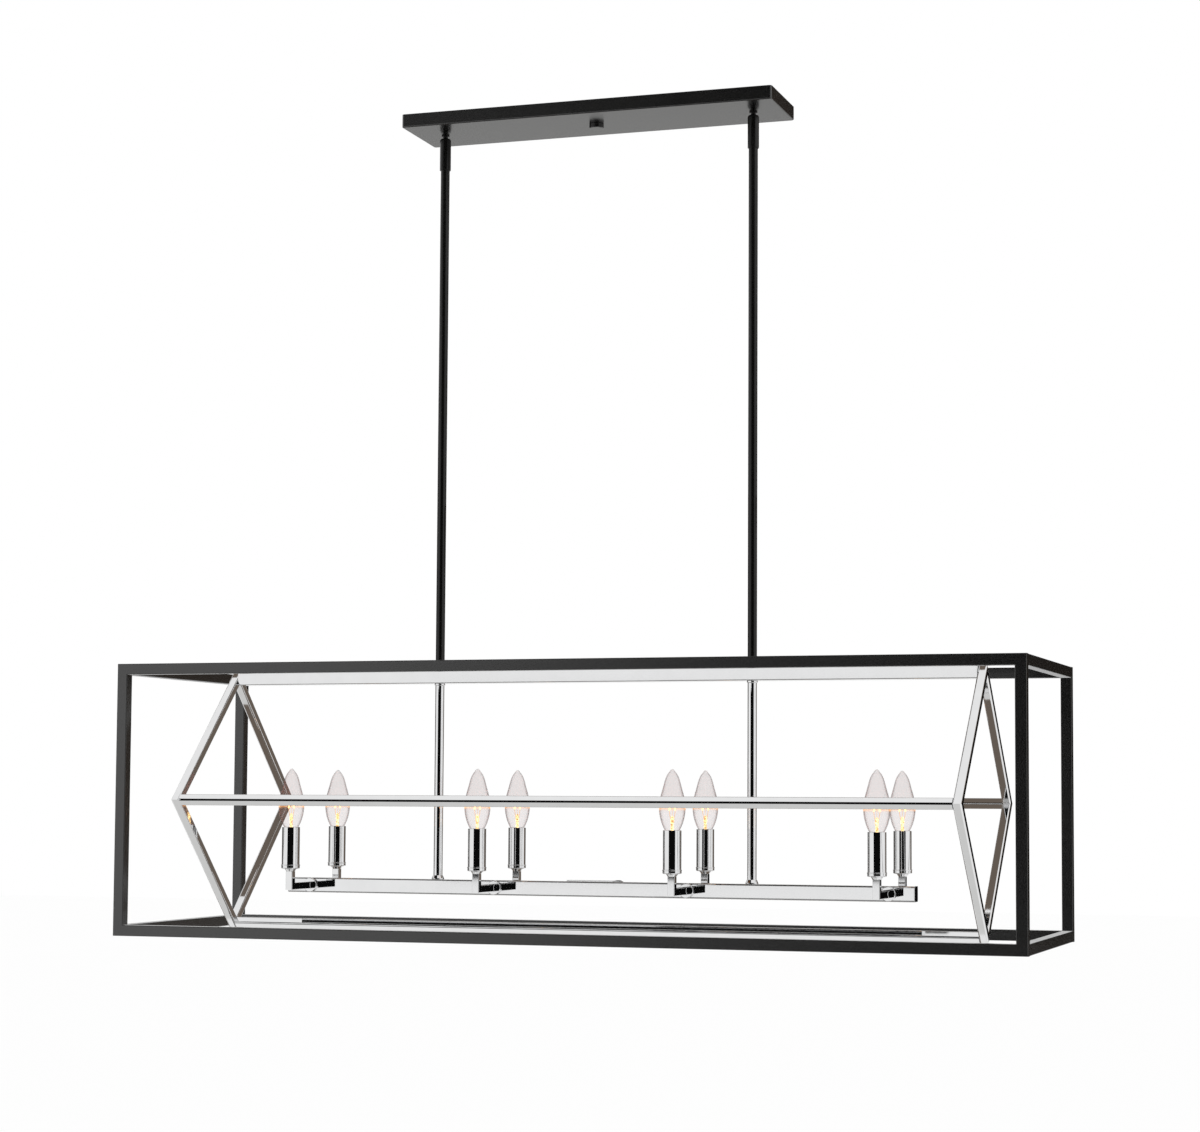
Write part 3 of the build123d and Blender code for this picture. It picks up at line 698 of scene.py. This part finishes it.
low, high = span("upper_stems")
stem_inner = stem_radius - 1.5
stem_edges = [0.15, 0.15, 0.15, 0.15]
skin = turned(wall(stem_inner, stem_radius, low.z, high.z), stem_edges, 64)
at_stems("upper_stems_tube", skin, dull_black, "satin_black", "upper_stems")

low, high = span("cross_straps")
strap_width = 20.0
strap_corner = 1.0
skin = Skin()
slab(skin, box_plan(strap_width, high.y - low.y, strap_corner), strap_corner, low.z, high.z,
     (0.3, 0.3), middle=0.5)
at_stems("cross_straps_flat", skin, black, "satin_black", "cross_straps").visible_glossy = False

# --------------------
# Cage: 15 mm square steel tube. The front and back frames are mitred at their corners,
# the end rails are butted between them, and the welds are ground flush before the coat.


def tube(skin, path, axis, size, corner, closed=False, twist=0.0):
    """Square tube along a path in the plane across axis, mitred where the path turns.
    Open ends are cut square."""
    spokes = box_plan(size, size, corner)
    count = len(path)
    path = [Vector(point) for point in path]
    axis = Vector(axis)
    legs = count if closed else count - 1
    headings = [(path[(k + 1) % count] - path[k]).normalized() for k in range(legs)]
    for k, heading in enumerate(headings):
        roll = Matrix.Rotation(twist, 3, heading)
        across = roll @ axis.cross(heading)
        upright = roll @ axis
        planes = []
        for end, neighbour in ((0, k - 1), (1, k + 1)):
            joined = closed or 0 <= neighbour < legs
            cut = heading + headings[neighbour % legs] if joined else heading
            planes.append((path[(k + end) % count], cut.normalized()))
        rings = []
        for spot, cut in planes:
            ring = []
            for cx, cy, dx, dy in spokes:
                reach = across * (cx + dx * corner) + upright * (cy + dy * corner)
                reach -= heading * (reach.dot(cut) / heading.dot(cut))
                ring.append((spot + reach, across * dx + upright * dy))
            rings.append(ring)
        skin.band(*rings)
        for ring, outward, free in ((rings[0], -planes[0][1], k == 0),
                                    (rings[1], planes[1][1], k == legs - 1)):
            if free and not closed:
                skin.face([point for point, _ in ring], [outward] * len(ring))


def weld_fillet(skin, spot, outward, across, size, leg):
    """A thin concave fillet round the foot of a square tube that stands on a face."""
    spot, outward, across = Vector(spot), Vector(outward), Vector(across)
    aside = outward.cross(across)
    steps = 4
    for along, side in ((across, aside), (aside, across), (across, -aside), (aside, -across)):
        rows = []
        for step in range(steps + 1):
            angle = math.pi / 2 * step / steps
            out = size / 2 + leg * (1 - math.sin(angle))
            rise = leg * (1 - math.cos(angle))
            normal = side * math.sin(angle) + outward * math.cos(angle)
            rows.append([(spot + side * out + along * out * end + outward * rise, normal)
                         for end in (-1, 1)])
        for lower, upper in zip(rows, rows[1:]):
            skin.band(lower, upper, closed=False)


def hang(name, skin, material, slot, *nodes):
    """One finished piece that hangs from the swivels."""
    return piece(name, skin.mesh(name, material), "hanger", slot, *nodes)


low, high = span("cage_long_rails")
cage_tube = 15.0
cage_corner = 1.0
cage_fillet = 1.0
middle_x = high.x - cage_tube / 2
middle_y = high.y - cage_tube / 2
top_z = high.z - cage_tube / 2
bottom_z = low.z + cage_tube / 2
skin = Skin()
for y in (-middle_y, middle_y):
    tube(skin, [(-middle_x, y, bottom_z), (middle_x, y, bottom_z), (middle_x, y, top_z),
                (-middle_x, y, top_z)], (0, -1, 0), cage_tube, cage_corner, closed=True)
cage_frames = hang("cage_frames", skin, black, "satin_black", "cage_long_rails", "cage_posts")
cage_frames.visible_glossy = False
skin = Skin()
inner_y = middle_y - cage_tube / 2
for x in (-middle_x, middle_x):
    for z in (bottom_z, top_z):
        tube(skin, [(x, -inner_y, z), (x, inner_y, z)], (0, 0, 1), cage_tube, cage_corner)
        for side in (-1, 1):
            weld_fillet(skin, (x, side * inner_y, z), (0, -side, 0), (1, 0, 0),
                        cage_tube - 2 * cage_corner, cage_fillet)
hang("cage_end_tubes", skin, black, "satin_black", "cage_end_rails").visible_glossy = False

# --------------------
# Diamond frame: 12 mm square steel tube, polished and chrome plated. Each end is a
# square on its corner, mitred at the four corners. Long rails join the two ends.

# Bright chrome: a mirror with a faint polishing haze and slow waves in the tube.
bright, paint = new_material("chrome_finish")
haze = grain(paint, 55.0, 4.0)
surface(paint, {
    "Base Color": blend(paint, haze, (0.735, 0.738, 0.742), (0.800, 0.802, 0.806)),
    "Metallic": 1.0,
    "Roughness": 0.015 + 0.02 * haze + 0.01 * grain(paint, 900.0),
    "Normal": relief(paint, grain(paint, 14.0, 1.0), 0.04, 0.0003)})

low, high = span("diamond_struts")
strut = 12.0
strut_corner = 2.3
strut_fillet = 0.9
frame_x = high.x - strut / 2
diamond_level = (low.z + high.z) / 2
corner_reach = high.y - strut / math.sqrt(2)
skin = Skin()
for x in (-frame_x, frame_x):
    tube(skin, [(x, -corner_reach, diamond_level), (x, 0, diamond_level - corner_reach),
                (x, corner_reach, diamond_level), (x, 0, diamond_level + corner_reach)],
         (1, 0, 0), strut, strut_corner, closed=True)
hang("diamond_ends", skin, bright, "chrome", "diamond_struts")

skin = Skin()
rail_end = frame_x - strut / 2
for y, z in ((-corner_reach, 0), (corner_reach, 0), (0, -corner_reach)):
    tube(skin, [(-rail_end, y, diamond_level + z), (rail_end, y, diamond_level + z)],
         (0, 0, 1), strut, strut_corner, twist=math.pi / 4)
    slant = Vector((0, 1, 1)).normalized()
    for side in (-1, 1):
        weld_fillet(skin, (side * rail_end, y, diamond_level + z), (-side, 0, 0), slant,
                    strut - 2 * strut_corner, strut_fillet)
hang("diamond_long_rails", skin, bright, "chrome", "diamond_rails")

# --------------------
# Top rail: 19 mm square chrome tube under the cross straps, closed by two welded caps.
# The stems clamp it, with a turned ring under it at each one.


def capped_tube(node, cap_node, corner):
    """A square tube along X with a flat cap on each end; returns its size and level."""
    low, high = span(node)
    size, level = high.z - low.z, (high.z + low.z) / 2
    skin = Skin()
    tube(skin, [(low.x, 0, level), (high.x, 0, level)], (0, 0, 1), size, corner)
    hang(node + "_tube", skin, bright, "chrome", node)
    skin = Skin()
    cap_thick = 1.5
    for side in (-1, 1):
        skin.place = at(side * high.x, 0, level) @ Matrix.Rotation(side * math.pi / 2, 4, "Y")
        slab(skin, box_plan(size, size, corner), corner, 0, cap_thick, (0.1, 0.35))
    hang(node + "_end_caps", skin, bright, "chrome", cap_node)
    return size, level


capped_tube("top_rail", "top_rail_caps", 1.5)

# --------------------
# Lower stems: 12.7 mm chrome tube from the top rail down to the light bar, each with a
# turned ring at the top and a flared ring at its foot.


def chrome_at_stems(name, points, radii, node):
    """A turned chrome ring or tube at both stems."""
    at_stems(name, turned(points, radii, 64), bright, "chrome", node)


low, high = span("stem_rings")
ring_radius = (high.y - low.y) / 2
chrome_at_stems("stem_top_rings", wall(stem_hole, ring_radius, low.z, high.z),
                [0.3, 0.9, 0.4, 0.1], "stem_rings")
low, high = span("lower_stems")
chrome_at_stems("lower_stem_tubes", wall(stem_inner, stem_radius, low.z, high.z), stem_edges,
                "lower_stems")
low, high = span("stem_feet")
foot_radius = (high.y - low.y) / 2
foot_rim = 1.4
foot_taper = 0.3
foot_top_radius = 6.9
chrome_at_stems("stem_flared_feet",
                [(stem_hole, low.z), (foot_radius, low.z),
                 (foot_radius - foot_taper, low.z + foot_rim), (foot_top_radius, high.z),
                 (stem_hole, high.z)], [0.1, 0.3, 1.2, 0.3, 0.1], "stem_feet")

# --------------------
# Light bar: 21 mm square chrome tube with a cap at each end. A low cover with a thin
# ear, held by one black screw, closes the hatch that it is wired through.

bar_size, bar_level = capped_tube("light_bar", "bar_end_caps", 2.3)

low, high = span("access_plate")
cover_length = 69.0
cover_width = high.y - low.y
cover_thick = high.z - low.z
cover_corner = 1.2
ear_thick = 0.7
ear_overlap = 0.6
skin = Skin()
for start, end, thick in ((low.x, low.x + cover_length, cover_thick),
                          (low.x + cover_length - ear_overlap, high.x, ear_thick)):
    skin.place = at((start + end) / 2, 0, low.z)
    slab(skin, box_plan(end - start, cover_width, cover_corner), cover_corner, 0, thick, (0.05, 0.3))
hang("hatch_cover", skin, bright, "chrome", "access_plate")

low, high = span("plate_screw")
head_radius = (high.x - low.x) / 2
head_top = high.z - low.z
head_low = head_top - 1.3
shank_radius = 1.7
drive_radius = 1.1
drive_floor_radius = 0.9
drive_floor = head_top - 0.7
skin = turned([(0, 0), (shank_radius, 0), (shank_radius, head_low), (head_radius, head_low),
               (head_radius, head_top), (drive_radius, head_top), (drive_floor_radius, drive_floor),
               (0, drive_floor)], [0, 0.3, 0, 0.2, 0.9, 0.1, 0, 0], 40,
              at((low.x + high.x) / 2, 0, low.z))
hang("hatch_screw", skin, black, "satin_black", "plate_screw")

# --------------------
# Candle arms: 10 mm square chrome tube with a mitred elbow, welded to the bar behind a
# round collar. Four stand on each side of the bar.

candle_pitch = 0.2794
candle_reach = 77.4


def at_candles(name, skin, *nodes):
    """One chrome piece at all eight candles, drawn for x = 0 on the back side."""
    piece(name, in_row(name, skin, bright, 4, candle_pitch, True), "hanger", "chrome", *nodes)


arm_tube = 10.0
arm_corner = 0.8
_, high = span("arm_risers")
arm_top = high.z
skin = Skin()
tube(skin, [(0, bar_size / 2, bar_level), (0, candle_reach, bar_level), (0, candle_reach, arm_top)],
     (1, 0, 0), arm_tube, arm_corner)
at_candles("candle_arms", skin, "arm_spigots", "arm_risers")

arm_collar_radius = 10.2
arm_collar_thick = 4.0
place = at(0, bar_size / 2, bar_level) @ Matrix.Rotation(-math.pi / 2, 4, "X")
skin = turned(wall(0, arm_collar_radius, 0, arm_collar_thick), [0, 0.3, 1.1, 0], 64, place)
at_candles("arm_collars_turned", skin, "arm_collars")

# --------------------
# Candles: a turned cup on each arm, a pressed ring with a beaded rim, and a thin chrome
# sleeve. A nipple through all of them clamps the black moulded lampholder inside.


def turned_candle(name, points, radii, node, steps=72):
    """A turned or pressed chrome part at all eight candles."""
    at_candles(name, turned(points, radii, steps, at(0, candle_reach, 0)), node)


pipe_hole = 4.85
cup_foot_radius = 5.8
cup_top_radius = 8.5
ring_bottom = arm_top + 4.0
turned_candle("candle_cups_turned",
              [(pipe_hole, arm_top), (cup_foot_radius, arm_top), (cup_top_radius, ring_bottom),
               (pipe_hole, ring_bottom)],
              [0.1, 0.5, 0.5, 0.1], "candle_cups")
low, high = span("sleeve_rings")
bead_radius = high.y - candle_reach
ring_top = high.z
bead_low = ring_top - 1.5
ring_wall_radius = bead_radius - 0.35
ring_well_radius = 12.55
ring_floor = ring_bottom + 1.4
turned_candle("candle_rings_beaded",
              [(pipe_hole, ring_bottom), (ring_wall_radius, ring_bottom), (ring_wall_radius, bead_low),
               (bead_radius, bead_low), (bead_radius, ring_top), (ring_well_radius, ring_top),
               (ring_well_radius, ring_floor), (pipe_hole, ring_floor)],
              [0.2, 1.2, 0.1, 0.34, 0.34, 0.12, 0.2, 0.2], "sleeve_rings")
low, high = span("candle_sleeves")
sleeve_outer = high.y - candle_reach
candle_top = high.z
sleeve_wall = 0.8
turned_candle("candle_tubes", wall(sleeve_outer - sleeve_wall, sleeve_outer, low.z, candle_top),
              [0.2, 0.2, 0.3, 0.3], "candle_sleeves", steps=96)
repaint(moulded("phenolic_finish", (0.014, 0.013, 0.012), (0.030, 0.028, 0.026), 0.34), "lampholders")
repaint(plated_metal("brass_finish", (0.52, 0.36, 0.13), (0.72, 0.54, 0.24), 0.30, 0.2),
        "socket_shells", "socket_contacts")

# --------------------
# Wiring: leads in a white braided glass sleeving, from the swivel down one stem, along
# the bar and up every arm.

sleeving, paint = new_material("glass_sleeving_finish")
weave = []
for turn_z in (0.0, math.pi / 2):
    strands = paint.node("ShaderNodeMapping", sockets={
        "Vector": object_place(paint), "Rotation": (0.0, 0.0, turn_z)})
    weave.append(paint.node("ShaderNodeTexWave", {"wave_type": "BANDS", "bands_direction": "DIAGONAL"},
                            {"Vector": strands, "Scale": 420.0}, out="Fac"))
braid = paint.maths("MAXIMUM", *weave)
surface(paint, {
    "Base Color": blend(paint, braid, (0.52, 0.50, 0.44), (0.80, 0.78, 0.72)),
    "Roughness": 0.72 - 0.12 * braid, "Normal": relief(paint, braid, 0.6, 0.0003)})
repaint(sleeving, "wiring_harness")

# --------------------
# Bulbs: clear candle lamps. A blown glass envelope is cemented in a nickelled screw
# cap. A glass stem in it carries the support wires and the hot filament.


def ease(paint, kind, value, start, end, first, last):
    """Runs smoothly from first to last while a value runs from start to end."""
    return paint.node("ShaderNodeMapRange", {"interpolation_type": kind}, {
        "Value": value, "From Min": start, "From Max": end, "To Min": first, "To Max": last})


# The envelope is clear glass with painted light: its faint pinkish tint, a little stronger towards the
# top, stands in for the filament's warm light, its rim is darkened with painted shade, and a streaked,
# painted warm glow lies at the filament's height.
glass, paint = new_material("clear_glass_finish")
glow_level = 0.0305
glow_reach = 0.0060
facing = paint.node("ShaderNodeLayerWeight", sockets={"Blend": 0.5}, out="Facing")
height = paint.node("ShaderNodeSeparateXYZ", sockets={"Vector": object_place(paint)}, out="Z")
rise = height - candle_top * MM
haze = ease(paint, "SMOOTHSTEP", rise, 0.020, 0.045, 0.060, 0.088)
from_glow = paint.maths("ABSOLUTE", rise - glow_level, 0.0)
painted_glow = ease(paint, "SMOOTHERSTEP", from_glow, 0.0, glow_reach, 1.0, 0.0)
painted_glow_streak = grain(paint, 420.0, 3.0)
surface(paint, {
    "Base Color": blend(paint, paint.maths("POWER", facing, 2.0),
                        blend(paint, grain(paint, 60.0), (0.36, 0.18, 0.16), (0.42, 0.215, 0.19)),
                        (0.03, 0.02, 0.018)),
    "Roughness": 0.03, "Specular IOR Level": 0.2,
    "Emission Color": blend(paint, painted_glow, (0.0, 0.0, 0.0),
                            blend(paint, 5.0 * painted_glow_streak - 2.0, (0.55, 0.16, 0.01), (1.0, 0.55, 0.14))),
    "Emission Strength": 1.3,
    "Alpha": haze + 0.22 * painted_glow * painted_glow_streak + (1.0 - haze) * paint.maths("POWER", facing, 4.0)})

# The glass stem: its amber colour and streaked orange glow are painted light from the filament.
stem_glass_painted_glow, paint = new_material("stem_glass_painted_glow_finish")
painted_glow_streak = grain(paint, 420.0, 4.0)
surface(paint, {
    "Base Color": blend(paint, painted_glow_streak, (0.50, 0.30, 0.14), (0.85, 0.66, 0.40)),
    "Roughness": 0.05, "Alpha": 0.80,
    "Emission Color": blend(paint, 5.0 * painted_glow_streak - 2.1, (0.16, 0.05, 0.00), (1.0, 0.80, 0.36)),
    "Emission Strength": 2.2})

filament_finish, paint = new_material("filament_finish")
show(paint, paint.node("ShaderNodeEmission", sockets={
    "Color": blend(paint, grain(paint, 900.0), (1.0, 0.44, 0.10), (1.0, 0.66, 0.26)), "Strength": 5.0}))
nickel = plated_metal("bulb_cap_finish", (0.56, 0.55, 0.52), (0.72, 0.71, 0.68), 0.22, 0.2)
cement = moulded("cap_insulator_finish", (0.012, 0.012, 0.014), (0.024, 0.024, 0.028), 0.20)
# Support wires: dull metal, and their orange glow is painted light from the filament.
wire_metal_painted_glow, paint = new_material("support_wire_finish")
cloud = grain(paint, 300.0, 3.0)
surface(paint, {
    "Base Color": blend(paint, cloud, (0.30, 0.27, 0.22), (0.46, 0.42, 0.36)), "Metallic": 1.0,
    "Roughness": 0.25 + 0.2 * cloud,
    "Emission Color": blend(paint, cloud, (0.80, 0.28, 0.04), (1.0, 0.60, 0.20)),
    "Emission Strength": 1.0})

cap_radius = 6.0
cap_length = 17.0
cap_top = candle_top - 6.5
cap_bottom = cap_top - cap_length
neck_radius = 5.6
neck_foot = cap_top - 3.5
glass_wall = 0.8
glass_fit = 0.05
bulb_stations = [(neck_radius, cap_top - candle_top), (10.0, 0.0), (17.9, 29.0), (12.9, 56.1),
                 (4.7, 77.3), (0.0, 81.7)]
neck_lean = (0.35, 1.0)
tip_lean = (-1.0, -0.12)


def bulb_profile(inset):
    """Half outline of the envelope as a smooth curve, moved inwards by inset."""
    steps = 14
    stations = [Vector((max(radius - inset, 0.0), rise)) for radius, rise in bulb_stations]
    stations[-1].y -= inset
    leans = [Vector(neck_lean)]
    for below, here, above in zip(stations, stations[1:], stations[2:]):
        before, after = here - below, above - here
        leans.append(before.normalized() * after.length + after.normalized() * before.length)
    leans.append(Vector(tip_lean))
    line = []
    for k, (a, b) in enumerate(zip(stations, stations[1:])):
        pull = (b - a).length / 3
        for step in range(steps + (k == len(stations) - 2)):
            curve = [a, a + leans[k].normalized() * pull, b - leans[k + 1].normalized() * pull, b]
            while len(curve) > 2:
                curve = [here.lerp(there, step / steps) for here, there in zip(curve, curve[1:])]
            spot = curve[0].lerp(curve[1], step / steps)
            run = curve[1] - curve[0]
            line.append((Vector((max(spot.x, 0.0), spot.y + candle_top)),
                         Vector((run.y, -run.x)).normalized()))
    line[-1] = (Vector((0.0, line[-1][0].y)), Vector((0.0, 1.0)))
    return line


def envelope():
    """The blown glass, with an outer and an inner wall that meet in the neck."""
    skin = Skin()
    aside, down = Vector((1.0, 0.0)), Vector((0.0, -1.0))
    outer = [(Vector((neck_radius, neck_foot)), aside)] + bulb_profile(0.0)
    inner = [(Vector((neck_radius - glass_wall, neck_foot)), aside)] + bulb_profile(glass_wall)
    edges = edges_along(outer) + edges_along([(spot, -normal) for spot, normal in inner])
    edges.append((inner[0][0], down, outer[0][0], down))
    turn(skin, edges, round_plan(64))
    return skin


def screw_cap(skin):
    """Rolled screw cap: its wall follows a round thread, which fades at both ends."""
    pitch, depth, steps, rows_up = 3.2, 0.45, 48, 40
    fade_low, fade_high = 2.0, 3.0

    def threaded(k, row):
        angle = 2 * math.pi * k / steps
        rise = cap_length * row / rows_up
        fade = min(1.0, rise / fade_low, (cap_length - rise) / fade_high)
        phase = 2 * math.pi * rise / pitch - angle
        radius = cap_radius - depth * fade * (1 - math.cos(phase)) / 2
        lean = depth * fade * math.sin(phase) / 2 * 2 * math.pi / pitch
        x, y = math.cos(angle), math.sin(angle)
        return (radius * x, radius * y, cap_bottom + rise), (x, y, lean)

    rings = [[threaded(k, row) for k in range(steps)] for row in range(rows_up + 1)]
    for lower, upper in zip(rings, rings[1:]):
        skin.band(lower, upper)
    inner = neck_radius + glass_fit
    lining = [(cap_radius, cap_top), (inner, cap_top), (inner, cap_bottom), (cap_radius, cap_bottom)]
    turn(skin, soft_outline(lining, [0, 0, 0, 0], closed=False), round_plan(steps))


def wire(skin, path, radius, steps=8):
    """A thin round wire along points."""
    rings, headings = [], []
    side = Vector((0.0, 1.0, 0.0))
    for k, spot in enumerate(path):
        heading = (path[min(k + 1, len(path) - 1)] - path[max(k - 1, 0)]).normalized()
        side = (side - heading * side.dot(heading)).normalized()
        other = heading.cross(side)
        spokes = [side * x + other * y for _, _, x, y in round_plan(steps)]
        rings.append([(spot + spoke * radius, spoke) for spoke in spokes])
        headings.append(heading)
    for ring, following in zip(rings, rings[1:]):
        skin.band(ring, following)
    for ring, outward in ((rings[0], -headings[0]), (rings[-1], headings[-1])):
        skin.face([point for point, _ in ring], [outward] * steps)


def coil(arch, radius, turns, per_turn=8):
    """Points of a coil wound round a path."""
    points = []
    for step in range(turns * per_turn + 1):
        t = step / (turns * per_turn) * (len(arch) - 1)
        k = min(int(t), len(arch) - 2)
        spot = arch[k].lerp(arch[k + 1], t - k)
        heading = (arch[k + 1] - arch[k]).normalized()
        aside = heading.cross(Vector((0, 1, 0))).normalized()
        other = heading.cross(aside)
        angle = 2 * math.pi * step / per_turn
        points.append(spot + (aside * math.cos(angle) + other * math.sin(angle)) * radius)
    return points


def lifted(*places):
    """Points in a bulb, given from the top of its candle."""
    return [Vector((x, y, candle_top + z)) for x, y, z in places]


def core():
    """Cap, insulator, button, glass stem, support wires and filament, each with its finish."""
    cap_finish, insulator_finish, stem_finish, support_finish, coil_finish = range(5)
    skin = Skin()
    screw_cap(skin)
    insulator_foot = cap_bottom - 2.5
    button_foot = cap_bottom - 3.9
    button_radius = 2.2
    flare_radius = neck_radius - glass_wall - glass_fit
    stem_tip = candle_top + 19.0
    for finish, steps, points, radii in (
            (insulator_finish, 40,
             [(0, insulator_foot), (3.2, insulator_foot), (cap_radius - 0.1, cap_bottom),
              (0, cap_bottom)], [0, 0.4, 0.2, 0]),
            (cap_finish, 32,
             [(0, button_foot), (button_radius, button_foot), (button_radius, insulator_foot),
              (0, insulator_foot)], [0, 0.7, 0, 0]),
            (stem_finish, 32,
             [(0, neck_foot), (flare_radius, neck_foot), (flare_radius, neck_foot + 2.0),
              (2.4, neck_foot + 5.5), (1.8, candle_top + 8.0), (2.6, candle_top + 12.0),
              (1.2, stem_tip), (0, stem_tip)], [0, 0.3, 0.4, 2.5, 3.0, 0.9, 0.7, 0])):
        skin.finish = finish
        turn(skin, soft_outline(points, radii, closed=False), round_plan(steps))
    skin.finish = support_finish
    support_radius, centre_radius = 0.36, 0.22
    for side in (-1, 1):
        wire(skin, lifted((side * 1.0, 0.0, 10.0), (side * 2.0, 0.0, 14.0), (side * 3.4, 0.0, 20.0),
                          (side * 4.2, 0.0, 26.5)), support_radius)
    wire(skin, lifted((0.0, 0.0, 13.0), (0.0, 0.0, 35.6)), centre_radius)
    skin.finish = coil_finish
    coil_radius, coil_turns, filament_radius = 0.80, 38, 0.28
    arch = lifted((-4.2, 0.0, 26.5), (-3.2, 0.6, 32.0), (0.0, 0.0, 36.2), (3.2, -0.6, 32.0),
                  (4.2, 0.0, 26.5))
    wire(skin, coil(arch, coil_radius, coil_turns), filament_radius, 5)
    return skin


envelope_mesh = envelope().mesh("bulb_glass", glass)
core_mesh = core().mesh("bulb_core", nickel, cement, stem_glass_painted_glow, wire_metal_painted_glow, filament_finish)
for number in range(1, 9):
    bulb = "bulb_%d" % number
    low, high = span(bulb + "_glass")
    side = 1 if number % 2 == 0 else -1
    spot = at((low.x + high.x) / 2, side * candle_reach, 0)
    if side < 0:
        spot = spot @ Matrix.Rotation(math.pi, 4, "Z")
    for mesh, label, slot, node in ((envelope_mesh, "_glass_shown", "clear_glass", "_glass"),
                                    (core_mesh, "_core_shown", "bulb_cap_metal", "_base")):
        own = mesh.copy()
        own.transform(spot)
        piece(bulb + label, own, bulb, slot, bulb + node)
